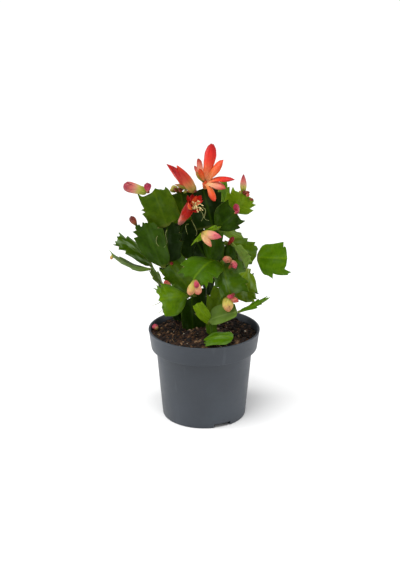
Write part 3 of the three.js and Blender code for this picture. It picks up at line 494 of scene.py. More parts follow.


# As in the solid model: a joint stands at its root, or grows on an earlier joint's apex. face is the way
# its broad side looks. shade names its slot, and its greens unless skin names others.
# A joint's greens and tone are partly painted shade and light.
JOINTS = [
    joint(name="left_base", root=(-11, 6, 72), tip=(-12, 6, 113), face=(0.3, -1, 0.1),
          shade="dark", tone=0.4, width=20, fuller=(1, 1.5),
          teeth=((), (0.7,)), points=((0.7, 10, 1),)),
    joint(name="left_middle", on="left_base", seat=0.35, tip=(-32, 5, 147), face=(-0.2, -0.9, 0.3),
          shade="mid", tone=0.6, gloss=0.3, width=24, bow=-1, cup=-1, shoulder=0.2, fuller=(1, 1.3),
          teeth=((0.5, 0.78), (0.7,)), points=((0.6, 7, 0.7),)),
    joint(name="left_low", on="left_base", seat=-0.45, tip=(-40, -17, 120), face=(-0.2, -0.85, 0.5),
          shade="bright", tone=0.65, gloss=0.3, width=27, bow=2, cup=-3, shoulder=0.9,
          fuller=(1.25, 1.05), narrow=(0.25, 0),
          teeth=((0.93,), (0.75, 0.88)), tooth=1.3,
          points=((0.6, 2.5, 0.25), (0, 2.5, 0.25), (-0.6, 2.5, 0.25))),
    joint(name="left_high", on="left_middle", seat=-0.6, tip=(-53, -9, 191), face=(-0.35, -0.9, 0.3),
          shade="dark", tone=0.65, width=26, bow=2, cup=2,
          teeth=((0.74, 0.86), (0.85,)), tooth=1.4, horns=((1, -3), (1, -3)),
          points=((-0.6, -2.5, 0.5), (-0.3, 4, 0.12), (-0.75, 3, 0.12))),
    joint(name="left_inner", on="left_middle", seat=-0.08, tip=(-34, -1, 184.5), face=(0, -1, 0.2),
          shade="dark", tone=0, width=25, bow=1, cup=-1, shoulder=0.25,
          teeth=((0.7,), (0.6, 0.8)), points=((-0.4, 5, 0.4), (0.4, 6, 0.5))),
    joint(name="left_crown", on="left_inner", tip=(-45, -9, 220), face=(0.1, -0.95, 0.35),
          shade="mid", tone=0.6, width=30, bow=-1, cup=-2, stalk=0.3, shoulder=0.14,
          teeth=((0.5, 0.6), ()), horns=((1.5, 1.5), (-3.5, -1)),
          points=((-0.95, 3.5, 0.14), (0.93, 2.5, 0.1), (0.7, -2.5, 0.2), (0.15, 3, 0.35))),
    joint(name="left_back", on="left_middle", seat=0.74, tip=(-20, 16, 182), face=(0.3, -1, 0.1),
          shade="dark", tone=0, width=24, bow=-4, cup=-1, shoulder=0.06, fuller=(1, 1.5),
          teeth=((0.7,), (0.6, 0.8)), points=((0.3, 7, 0.9),)),
    joint(name="left_rear_crown", on="left_back", seat=0.3, tip=(-22, 21, 212), face=(0, -1, 0.3),
          shade="mid", tone=0.45, width=25, bow=-1, cup=1, shoulder=0.08, fuller=(1, 1.15),
          teeth=((0.7,), (0.7,))),
    joint(name="rear_left_base", root=(-14, 26, 72), tip=(-34, 22, 117), face=(0.5, -0.9, 0.1),
          shade="dark", tone=0.1, width=18,
          teeth=((), (0.75,))),
    joint(name="far_left_stalk", on="rear_left_base", seat=-0.5, tip=(-50, 16, 140),
          face=(0.8, -0.15, 0.57),
          shade="pale", tone=0.4, width=17,
          teeth=((0.4, 0.75), (0.6,))),
    joint(name="far_left_up", on="far_left_stalk", seat=0.55, tip=(-80, 8, 171), face=(0.6, -0.6, 0.38),
          shade="mid", tone=0.45, gloss=1.2, width=21, bow=3, cup=-1, fuller=(0.72, 0.72),
          teeth=((0.7, 0.86), (0.8,)), points=((0.2, 2.5, 0.2), (-0.5, 2.5, 0.2), (0.75, 2, 0.15))),
    joint(name="far_left_low", on="far_left_stalk", seat=-0.55, tip=(-85, 0, 158), face=(0.4, 0.1, 0.9),
          shade="pale", tone=0.3, gloss=0.3, width=20, bow=-4, cup=1,
          teeth=((0.5, 0.8), (0.7,))),
    joint(name="rear_left", on="rear_left_base", seat=0.95, tip=(-31, 39, 141), face=(0.2, -1, 0.2),
          shade="dark", tone=0.1, width=22,
          teeth=((0.6, 0.8), (0.7,))),
    joint(name="front_base", root=(7, -15, 72), tip=(7, -14, 100), face=(-0.8, -0.6, 0.1),
          shade="dark", tone=0.95, width=16, fuller=(1, 0.85),
          points=((0, 5, 1.1),)),
    joint(name="front_rest", root=(-5, -26, 79.5), tip=(26, -37, 90), face=(0.15, -0.3, 0.94),
          shade="bright", tone=0.45, gloss=0.3, width=23, bow=4, cup=-1, shoulder=0.8, fuller=(1.1, 1.1),
          tooth=0, horns=((-3, -3), (-3, -3))),
    joint(name="front_left", root=(5, -17, 97), on="front_base", seat=-0.8, tip=(-6.5, -21, 118),
          face=(-0.2, -0.9, 0.3),
          shade="bright", tone=1, width=17, bow=1, stalk=0.3, shoulder=0.8, fuller=(0.75, 0.75),
          teeth=((0.6,), ()), tooth=0.3, horns=((0, -1), (0, -1))),
    joint(name="front_right", root=(4, -18, 99.5), on="front_base", seat=0.78, tip=(30, -28, 112),
          face=(0.1, -0.75, 0.65),
          shade="pale", tone=0.3, width=22, bow=2, cup=1, shoulder=0.4, fuller=(1.0, 0.62),
          horns=((-1, -1.5), (-1, -1.5))),
    joint(name="front_right_tip", on="front_right", tip=(55, -24, 122), face=(-0.47, 0.09, 0.88),
          shade="bright", width=17, bow=-1, cup=1, fuller=(0.85, 0.85),
          teeth=((0.6, 0.82), (0.6, 0.8)), tooth=1.7,
          points=((0.8, 6, 0.2), (0, 4, 0.18), (-0.8, 5, 0.2))),
    joint(name="right_low", on="front_base", seat=0.1, tip=(17, -4, 126), face=(0.3, -0.9, 0.2),
          shade="mid", tone=0.9, width=20, bow=-3, cup=1, stalk=3,
          teeth=((0.6,), (0.7,)), horns=((1, 0.5), (0, 0))),
    joint(name="right_middle", on="right_low", seat=-0.2, tip=(17, -3, 151), face=(0.1, -1, 0.1),
          shade="dark", width=20, bow=-1,
          points=((0, 8, 1.2),)),
    joint(name="front_bright", on="right_middle", seat=-0.55, tip=(-9, -36, 147), face=(-0.3, -0.8, 0.55),
          shade="bright", tone=0.25, width=29, bow=6, cup=-2, stalk=3, fuller=(1, 1.3),
          teeth=((0.7, 0.86), (0.8,)), tooth=1.3, points=((0.5, 4, 0.2), (-0.1, 3, 0.2), (-0.6, 4, 0.2))),
    joint(name="right_front", on="right_middle", seat=-0.05, tip=(24, -25, 127), face=(-0.2, -0.9, 0.45),
          shade="mid", tone=0.45, gloss=0.45, width=18, bow=6, cup=-2, shoulder=0.15, fuller=(2, 1.1),
          teeth=((0.6, 0.8), (0.7,))),
    joint(name="right_rear", on="right_low", seat=0.7, tip=(49, 20, 123), face=(0.2, -0.9, 0.4),
          shade="dark", tone=0.7, width=22, bow=-1, cup=-1,
          teeth=((0.7, 0.86), (0.75, 0.88))),
    joint(name="centre_right", on="right_middle", seat=0.35, tip=(22, 3, 166), face=(-0.7, -0.7, 0.2),
          shade="dark", tone=0.4, width=12, shoulder=0.12, fuller=(1.7, 1.7),
          horns=((0, 0), (-1.5, -1))),
    joint(name="right_over", on="centre_right", seat=-0.8, tip=(48, 5, 155), face=(0.35, -0.92, 0.3),
          shade="mid", tone=0.7, gloss=0.3, width=21, bow=2, cup=-2, stalk=3, fuller=(1, 1.1),
          teeth=((0.55, 0.8), (0.7,)), horns=((0, -2), (0, -2))),
    joint(name="right_pale", on="centre_right", seat=1, tip=(39, -19, 152), face=(0.74, 0.64, 0.21),
          shade="pale", width=17, bow=1, cup=1, stalk=4.5, fuller=(1.2, 1.25),
          teeth=((0.6,), (0.7, 0.86))),
    joint(name="right_droop", on="right_pale", tip=(39, -12, 116), face=(-0.25, -0.93, 0.2),
          shade="mid", tone=1, gloss=0.8, width=20, bow=3, cup=-2, stalk=3, shoulder=0.4, blunt=True,
          fuller=(0.8, 1.5),
          teeth=((0.6, 0.85), (0.5, 0.75))),
    joint(name="far_right", on="right_over", tip=(76, -5, 156), face=(0.05, -0.95, 0.33),
          shade="bright", width=27, bow=1, cup=-1, stalk=0.3, shoulder=0.3, blunt=True,
          fuller=(0.94, 1.2),
          teeth=((0.82,), (0.5,)), tooth=1.5, horns=((-1.5, -1.5), (2, 1)),
          points=((0.8, 5, 0.14), (0.6, -2, 0.12))),
    joint(name="centre_low", root=(2, 14, 72), tip=(3, 12, 112), face=(-0.85, -0.5, 0),
          shade="dark", tone=0, width=19,
          teeth=((), (0.7,))),
    joint(name="centre_middle", on="centre_low", tip=(4.5, 10, 147), face=(-0.85, -0.5, 0),
          shade="dark", tone=0.1, width=21,
          teeth=((0.75,), ())),
    # centre_high wears the dark greens as painted shade in the plant's middle.
    joint(name="centre_high", on="centre_middle", seat=0.3, tip=(8, 9, 179), face=(-0.8, -0.6, 0.1),
          shade="pale", skin="dark", tone=0.6, width=22, fuller=(1.15, 1.5),
          teeth=((), (0.75,)), points=((-0.3, 4, 1.2),)),
    joint(name="toward", on="centre_high", seat=0.9, tip=(-3.5, -24.5, 184.5), face=(-0.64, 0.21, 0.71),
          shade="bright", tone=0.8, width=26, bow=1, cup=-2, stalk=5, shoulder=1.5,
          teeth=((0.7, 0.84), (0.75,)), horns=((1, 4), (1, 4.5)), points=((0.6, 2.5, 0.15),)),
    joint(name="right_dark", on="centre_high", seat=0.4, tip=(29, 0, 198), face=(0.1, -0.95, 0.3),
          shade="dark", tone=0.6, width=27, bow=1, cup=-1, shoulder=0.8, fuller=(1.1, 0.85),
          teeth=((), (0.72,))),
    joint(name="right_arch", on="centre_high", seat=-0.5, tip=(37, 25, 166), face=(0.2, -0.1, 0.97),
          shade="mid", tone=0.9, gloss=0.3, width=20, bow=1.5, cup=-1, twist=-15, fuller=(1.2, 1.2),
          teeth=((0.6, 0.82), (0.7,))),
    joint(name="centre_rear", on="centre_middle", seat=-0.6, tip=(-13, 29, 173), face=(0.3, -0.95, 0.1),
          shade="dark", tone=0, width=22, bow=-1, shoulder=0.08, fuller=(1.15, 1.15),
          teeth=((0.7,), (0.7,)), points=((0, 7, 1.2),)),
    joint(name="centre_dark", on="centre_high", tip=(-1, 14, 217), face=(0, -1, 0.15),
          shade="dark", tone=0, width=31, bow=-1, cup=1, shoulder=0.06, fuller=(1.1, 0.92),
          teeth=((0.6, 0.8), (0.55, 0.8))),
    joint(name="rear_right", on="centre_high", seat=-0.9, tip=(20, 28, 193), face=(0.2, -1, 0.1),
          shade="dark", tone=0.4, width=14, bow=-2, cup=1,
          teeth=((), (0.7,)), horns=((0, 0), (2.2, 1))),
    joint(name="rear_strip", on="rear_right", seat=-0.17, tip=(14, 34, 218), face=(-0.75, -0.6, 0.1),
          shade="bright", tone=0.6, width=20,
          teeth=((0.6,), (0.7,))),
    joint(name="right_crown", on="rear_right", seat=0.9, tip=(36, 20, 211), face=(0.2, -0.95, 0.3),
          shade="bright", tone=1.3, width=24, bow=2, cup=-1, shoulder=0.4, fuller=(1, 1.15),
          teeth=((0.75,), (0.5, 0.75)), tooth=1.2, horns=((2.2, 1), (-1, -1.5))),
]


# ---- Stem joints ----
# These follow the solid joints: a bare neck, a broadening blade, forward teeth and a horned apex.
NECK = 2.3
SHOULDER = PLAIN_JOINT["shoulder"]
TAPER = 0.12
TEETH_FROM = 0.24
TOOTH_OUT = 2.2
NOTCH_IN = 1.2
HOOK = 1.0  # how far a tooth's point leans ahead
NOTCH_RUN = 0.036
HOOK_RUN = 0.07
CURL_FROM = 0.4
REACH_COLUMNS = (-1, -0.7, 0, 0.7, 1)
APEX_REACH = (-0.7, 0.3, -0.7)  # between the two horns
RIB_HEIGHT = 1.05
RIB_SPREAD = 0.13
BLADE_HEIGHT = 1.35
NECK_HEIGHT = 0.75
NECK_RUN = 0.2
END_RUN = 0.03  # where the blade thins out to its closing edge
SEAT_GAP = 0.6
NECK_SINK = 1.3  # how far the fine neck is drawn back into what it grows from
NECK_LEAN = 1.05
HALF_COLUMNS = (0.07, 0.15, 0.24, 0.34, 0.44, 0.54, 0.64, 0.73, 0.81, 0.88, 0.94, 0.98, 1)
BLADE_COLUMNS = [-c for c in reversed(HALF_COLUMNS)] + [0, *HALF_COLUMNS]
BLADE_ROWS = 56
LAST_ROWS = (0.985, 0.994)
ROW_GAP = 0.0035


def blade_frame(base, tip, face):
    base, tip, face = (np.asarray(v, float) for v in (base, tip, face))
    length = np.linalg.norm(tip - base)
    along = (tip - base) / length
    out = unit(face - along * face.dot(along))
    return dict(base=base, length=length, along=along, out=out, across=np.cross(along, out))


def rib_at(grown, bow, s):
    point = grown["base"] + grown["along"] * grown["length"] * s + grown["out"] * 4 * bow * s * (1 - s)
    ahead = unit(grown["along"] + grown["out"] * 4 * bow * (1 - 2 * s) / grown["length"])
    return point, ahead, np.cross(grown["across"], ahead)


def apex_reach(row, seat):
    (left, _), (right, _) = row["horns"]
    return np.interp(seat, REACH_COLUMNS, (left, *APEX_REACH, right))


def apex_of(row, grown, seat):
    reach = apex_reach(row, seat)
    point, ahead, out = rib_at(grown, row["bow"], 1 + reach / grown["length"])
    half = row["width"] / 2 * (1 - TAPER)
    return point + grown["across"] * seat * half + out * row["cup"] * seat * seat, ahead


def foot_on(point, ahead, tip, radius):
    toward = unit(np.asarray(tip, float) - point)
    lean = math.sqrt(max(0, 1 - toward.dot(ahead) ** 2))
    return point + ahead * (SEAT_GAP + radius * lean)


def neck_on(point, ahead, row):
    grown = blade_frame(point, row["tip"], row["face"])
    _, start_ahead, start_out = rib_at(grown, row["bow"], 0)
    lean = NECK * abs(grown["across"].dot(ahead)) + NECK_LEAN * abs(start_out.dot(ahead))
    return point + ahead * (SEAT_GAP + lean)


def grow_joints():
    rows = {row["name"]: row for row in JOINTS}
    grown = {}
    for row in JOINTS:
        if "root" in row:
            base = row["root"]  # out of the peat, or part way up the joint it grows on
        else:
            point, ahead = apex_of(rows[row["on"]], grown[row["on"]], row["seat"])
            base = neck_on(point, ahead, row)
        grown[row["name"]] = blade_frame(base, row["tip"], row["face"])
    return rows, grown


def half_width(s, row, length):
    """Half the width at s: a bare neck, a broadening shoulder and a soft taper."""
    half = row["width"] / 2
    stalk = row["stalk"] / length
    rest = 1 - np.clip((s - stalk) / (row["shoulder"] - stalk), 0, 1)
    drawn_in = 1 - np.sqrt(1 - rest ** 2) if row["blunt"] else rest ** 3
    late = np.clip((s - SHOULDER) / (1 - SHOULDER), 0, 1)
    return half * (1 - (1 - NECK / half) * drawn_in - TAPER * late ** 2)


def margin(t, row, length, side):
    """Half width at shares t: soft arcs that end in a forward tooth, and a sharp notch behind each."""
    tooth_out, notch_in = row["tooth"] * TOOTH_OUT, row["tooth"] * NOTCH_IN
    late = np.clip((t - SHOULDER) / (1 - SHOULDER), 0, 1)
    wide = half_width(t, row, length) * (1 + (row["fuller"][side] - 1) * np.clip(5 * t, 0, 1))
    wide = wide * (1 - row["narrow"][side] * late ** 2)
    start, notched = TEETH_FROM, 0
    extra = np.zeros_like(t)
    for place in row["teeth"][side]:
        rise = np.clip((t - start) / max(place - start, 0.05), 0, 1)
        arc = tooth_out * rise ** 2.6 - notched * (1 - rise) ** 3
        extra = np.where((t >= start) & (t <= place), arc, extra)
        drop = np.clip((t - place) / NOTCH_RUN, 0, 1)
        falling = (t > place) & (t <= place + NOTCH_RUN)
        extra = np.where(falling, tooth_out - (tooth_out + notch_in) * drop ** 0.7, extra)
        start, notched = place + NOTCH_RUN, notch_in
    last = np.clip((t - start) / max(1 - start, 0.02), 0, 1)
    closing = row["horns"][side][1] * last ** 2 - notched * (1 - last) ** 3
    return wide + np.where(t > start, closing, extra)


def hook_at(share, teeth):
    """How far the margin leans ahead at a share, from 0 to 1 at each tooth's point."""
    lean = 0
    for place in teeth:
        run = HOOK_RUN if share <= place else NOTCH_RUN
        lean = max(lean, 1 - abs(place - share) / run)
    return lean


def edge_reach(row, c):
    """How far the closing edge stands ahead of the tip at place c, with the row's own points on it."""
    reach = apex_reach(row, c)
    for place, height, spread in row["points"]:
        reach += height * max(0, 1 - abs(c - place) / spread) ** 1.5
    return reach


def blade_rows(row):
    """Shares along the blade, closer together at its teeth and its closing edge."""
    shares = {*np.linspace(0, 1, BLADE_ROWS), *LAST_ROWS}
    for place in sum(row["teeth"], ()):
        shares |= {place - 0.012, place, place + 0.4 * NOTCH_RUN, place + NOTCH_RUN}
    ordered = [0.0]
    for share in sorted(shares):
        if share > ordered[-1] + ROW_GAP:
            ordered.append(share)
    ordered[-1] = 1.0
    return np.array(ordered)


def blade_thick(share, c):
    """Full along the midrib, thin at the margins and at the closing edge."""
    fullness = math.sqrt(max(0, 1 - abs(c) ** 3))
    neck = max(0, 1 - share / NECK_RUN)
    thick = RIB_HEIGHT * math.exp(-(c / RIB_SPREAD) ** 2) * (1 - neck) + BLADE_HEIGHT * fullness
    thick += neck * NECK_HEIGHT * fullness
    return thick * min(1, (1 - share) / END_RUN) ** 0.5


def blade_grids(row, grown, rng):
    """Front and back points of a blade, row by row along it."""
    length = grown["length"]
    t = blade_rows(row)
    halves = [margin(t, row, length, side) for side in (0, 1)]
    ripple = [(rng.uniform(0.3, 0.8), rng.uniform(7, 12), rng.uniform(0, 6.3)) for _ in range(2)]
    wobble = rng.uniform(-0.09, 0.09)
    front = np.zeros((len(t), len(BLADE_COLUMNS), 3))
    back = np.zeros_like(front)
    for i, share in enumerate(t):
        closing = np.clip((share - 0.8) / 0.2, 0, 1) ** 2
        turn = math.radians(row["twist"]) * max(0, share - 0.12)
        for j, c in enumerate(BLADE_COLUMNS):
            side = 0 if c < 0 else 1
            half = halves[side][i]
            s = share + closing * edge_reach(row, c) / length
            hook = abs(c) ** 6 * HOOK / length * hook_at(share, row["teeth"][side])
            point, ahead, out = rib_at(grown, row["bow"], s + hook)
            point = point - ahead * NECK_SINK * max(0, 1 - share / 0.04) * ("on" in row)
            height, pitch, phase = ripple[side]
            curl = row["cup"] * c * c * min(1, share / CURL_FROM)
            curl += height * c * c * math.sin(pitch * share + phase) * min(1, share / 0.3)
            curl += wobble * c * half * math.sin(math.pi * share)
            across = grown["across"] * math.cos(turn) + out * math.sin(turn)
            out = out * math.cos(turn) - grown["across"] * math.sin(turn)
            middle = point + across * c * half + out * curl
            thick = blade_thick(share, c)
            front[i, j] = middle + out * thick / 2
            back[i, j] = middle - out * thick / 2
    close_border(front, back)
    return front, back


def add_joints(grown):
    finishes = {shade: stem_finish(shade) for shade in STEM_GREENS}
    for row in JOINTS:
        name = row["name"]
        shape = Shape(row["tone"], row["gloss"])
        shape.sheet(*blade_grids(row, grown[name], random.Random(name)))
        piece = shape.object("segment_" + name, finishes[row.get("skin", row["shade"])])
        keep(piece, "stem_" + row["shade"], "stem_" + name)


# ---- Buds ----
# Tints run from a bud's green base to its closed point, by shares of its length.
PINK_BUD = ((0, "5E6418"), (0.25, "98A030"), (0.42, "BCAC50"), (0.54, "CC9070"), (0.7, "CE6A60"),
            (1, "8E2438"))
CREAM_BUD = ((0, "5E5A18"), (0.2, "9A9434"), (0.5, "C4AE50"), (0.75, "CCA060"), (1, "C07A58"))
SALMON_BUD = ((0, "54441C"), (0.2, "AC8440"), (0.5, "D08A60"), (0.75, "CE6E5C"), (1, "A83A34"))
PEACH_BUD = ((0, "8E7A38"), (0.4, "D2A268"), (0.8, "D89470"), (1, "CC6C58"))
PEACH_ROSE = ((0, "6E5A20"), (0.3, "C4A050"), (0.5, "DC9C78"), (0.75, "DC7070"), (1, "C04C5C"))
RUSTY_BUD = ((0, "3A2E14"), (0.25, "6C4A22"), (0.55, "96502E"), (0.8, "883A28"), (1, "5C2018"))
ROSE_BUD = ((0, "6E5E2C"), (0.2, "B47E52"), (0.45, "C44E5C"), (0.75, "B4304A"), (1, "8A1E38"))
RED_BUD = ((0, "46341A"), (0.25, "844426"), (0.55, "A02A1E"), (1, "701414"))
GREEN_BUD = ((0, "3E4814"), (0.3, "6E7A26"), (0.7, "9A983A"), (1, "AC9A46"))

# Each bunch grows on a joint's apex or stands at a place of its own; each bud has its point's place, its
# radius and its tints.
BUDS = [
    dict(name="buds_left_crown", slot="bud_pink", form="long", at=(-52, -9, 220),
         buds=(((-72, -12, 226.5), 4.8, PINK_BUD), ((-50, -12, 228), 3.2, ROSE_BUD))),
    dict(name="bud_left_high", slot="bud_orange", on="left_high", seat=-0.8,
         buds=(((-66, -14, 198), 2.9, RUSTY_BUD),)),
    dict(name="buds_rear_crown", slot="bud_cream", on="left_rear_crown", seat=-0.1,
         buds=(((-30, 18, 218), 2.9, GREEN_BUD), ((-20, 14, 220), 2.6, RUSTY_BUD))),
    dict(name="buds_right_crown", slot="bud_cream", form="pointed", on="right_crown", seat=0,
         buds=(((36, 21, 229), 3, PINK_BUD), ((42, 17, 213), 2, RUSTY_BUD))),
    dict(name="bud_right_dark", slot="bud_pink", on="right_dark", seat=0.1,
         buds=(((28, -8, 208), 2.7, ROSE_BUD),)),
    dict(name="buds_toward", slot="bud_cream", form="pointed", on="toward", seat=-0.25,
         buds=(((15, -37, 186), 3.9, PEACH_ROSE), ((6, -38, 177.5), 3, PEACH_BUD))),
    dict(name="buds_right_middle", slot="bud_orange", on="right_middle", seat=0.95,
         buds=(((18, -19, 160), 3.1, PEACH_BUD), ((28, -21, 153), 2.9, PEACH_ROSE))),
    dict(name="bud_centre_right", slot="bud_orange", on="centre_right", seat=-0.1,
         buds=(((27, 0, 175), 2.1, RED_BUD),)),
    dict(name="buds_rear_left", slot="bud_orange", on="rear_left_base", seat=0,
         buds=(((-35, 13, 132), 2.4, SALMON_BUD), ((-37, 10, 124), 2.4, SALMON_BUD))),
    dict(name="buds_front_bright", slot="bud_cream", on="front_bright", seat=-0.1,
         buds=(((-13.5, -42, 133.5), 3.6, CREAM_BUD), ((-5, -42, 134), 3.6, PEACH_BUD))),
    dict(name="buds_right_front", slot="bud_cream", form="plump", on="right_front", seat=0.45,
         buds=(((22, -31, 113.5), 5, CREAM_BUD), ((31, -30, 123), 2.8, SALMON_BUD),
               ((26, -32, 129), 1.9, ROSE_BUD))),
    dict(name="bud_fallen", slot="bud_pink", at=(-44, 1, 83.7),
         buds=(((-48, 7, 85.4), 2.8, ROSE_BUD),)),
]
BUD_OUTLINES = {
    "blunt": ((0, 0.3), (0.12, 0.55), (0.26, 0.68), (0.48, 0.97), (0.7, 1), (0.9, 0.76), (1, 0.22)),
    "pointed": ((0, 0.4), (0.14, 0.75), (0.35, 1), (0.55, 0.97), (0.8, 0.62), (1, 0.08)),
    "long": ((0, 0.55), (0.08, 0.78), (0.3, 0.84), (0.5, 0.93), (0.75, 1), (0.92, 0.82), (1, 0.35)),
    "plump": ((0, 0.5), (0.15, 0.85), (0.4, 1), (0.65, 0.95), (0.85, 0.66), (1, 0.2)),
}
WRAPS = ((0.0, 0.42), (0.12, 0.72), (0.3, 1.02))  # the shares of a bud that each whorl of sepals covers
SEPALS = 4  # in each whorl
BUD_SUNK = 1.2


def outline_at(outline, shares):
    """A smooth curve through the outline's points."""
    places, radii = zip(*outline)
    fine = np.linspace(0, 1, 121)
    rough = np.interp(fine, places, radii)
    kernel = np.hanning(15)
    padded = np.pad(rough, 7, mode="edge")
    smooth = np.convolve(padded, kernel / kernel.sum(), "valid")
    smooth[-6:] = rough[-6:]
    return np.interp(shares, fine, smooth)


class Bud:
    """A closed bud: wrapped, pointed sepals over a smooth heart."""

    def __init__(self, foot, tip, radius, tints, form="blunt"):
        self.foot = np.asarray(foot, float)
        self.axis = np.asarray(tip, float) - self.foot
        self.ahead = unit(self.axis)
        self.side = unit(np.cross(self.ahead, (0.2, 0.9, 0.35)))
        self.up = np.cross(self.ahead, self.side)
        self.radius, self.tints, self.outline = radius, tints, BUD_OUTLINES[form]

    def draw(self, shape, rng):
        shares = np.linspace(0, 1, 22)
        radii = self.radius * outline_at(self.outline, shares)
        path = [self.foot + self.axis * s for s in shares]
        shape.tube(path, radii * 0.93, 16, blend(self.tints, shares), lobes=0.02)
        for span in WRAPS:
            first = rng.uniform(0, 6.3)
            for k in range(SEPALS):
                turn = first + 2 * math.pi * k / SEPALS + rng.uniform(-0.25, 0.25)
                self.add_sepal(shape, span, turn, rng)

    def add_sepal(self, shape, span, turn, rng):
        low, high = span
        high = min(1.0, high + rng.uniform(-0.05, 0.04))
        lift = rng.uniform(0.01, 0.05)
        rows, columns = 12, 7
        front = np.zeros((rows, columns, 3))
        back = np.zeros_like(front)
        colours = np.zeros((rows, columns, 4))
        for i in range(rows):
            q = i / (rows - 1)
            share = low + (high - low) * q
            centre = self.foot + self.axis * share
            around = 0.95 * math.sin(math.pi * min(1, 0.12 + 0.88 * q)) ** 0.6 * (1 - 0.25 * q)
            r = self.radius * outline_at(self.outline, share) * (0.97 + lift * q + 0.03 * (q > 0.9))
            for j in range(columns):
                c = 2 * j / (columns - 1) - 1
                angle = turn + c * around
                direction = math.cos(angle) * self.side + math.sin(angle) * self.up
                body = (1 - c * c) * 0.05 * self.radius + 0.02
                front[i, j] = centre + direction * (r + body)
                back[i, j] = centre + direction * (r - 0.12)
                colours[i, j] = blend(self.tints, min(1, share + 0.10 * abs(c) ** 3 + 0.05 * q))
        for k in (0, -1):
            front[k] = back[k]
            front[:, k] = back[:, k]
        shape.sheet(front, back, colours)


def foot_of(bunch, rows, grown, toward, radius):
    point, ahead = apex_of(rows[bunch["on"]], grown[bunch["on"]], bunch["seat"])
    return foot_on(point, ahead, toward, radius), ahead


def add_buds(rows, grown, finish):
    for bunch in BUDS:
        rng = random.Random(bunch["name"])
        if "at" in bunch:
            foot = bunch["at"]
        else:
            middle = sum(np.array(tip, float) for tip, _, _ in bunch["buds"]) / len(bunch["buds"])
            seat, ahead = foot_of(bunch, rows, grown, middle, bunch["buds"][0][1] * 0.5)
            foot = seat - ahead * BUD_SUNK
        shape = Shape()
        for tip, radius, tints in bunch["buds"]:
            Bud(foot, tip, radius, tints, bunch.get("form", "blunt")).draw(shape, rng)
        keep(shape.object("tepals_" + bunch["name"], finish), bunch["slot"], bunch["name"])


# ---- Flowers ----
CORAL = ((0, "E09A6C"), (0.3, "E06C3E"), (0.55, "DC361A"), (0.8, "CC1A12"), (1, "A00E10"))
ORANGE = ((0, "DE9A6C"), (0.35, "DC763C"), (0.7, "DA5220"), (1, "C43014"))
BLUSH = ((0, "D8B878"), (0.35, "DCA478"), (0.7, "D8826A"), (0.9, "BC4A3C"), (1, "8A2A22"))
SCARLET = ((0, "C86A48"), (0.3, "C03420"), (0.6, "B01812"), (0.85, "980E10"), (1, "6E0A0E"))
CRIMSON = ((0, "E08858"), (0.3, "D84A34"), (0.6, "CC2828"), (1, "8A1018"))
FLESH = ((0, "7E7A30"), (0.16, "B8A04C"), (0.3, "D08A50"), (0.5, "CC4A30"), (0.75, "B82A20"), (1, "D0401E"))
TUBE_PINK = ((0, "9A9440"), (0.3, "D8884E"), (0.6, "E06A34"), (1, "D8501E"))
TUBE_DEEP = ((0, "D08878"), (0.22, "E28C80"), (0.45, "DC5038"), (0.7, "C4201A"), (1, "941010"))
SEPAL = ((0, "6E7A22"), (0.6, "96923A"), (1, "B0704A"))
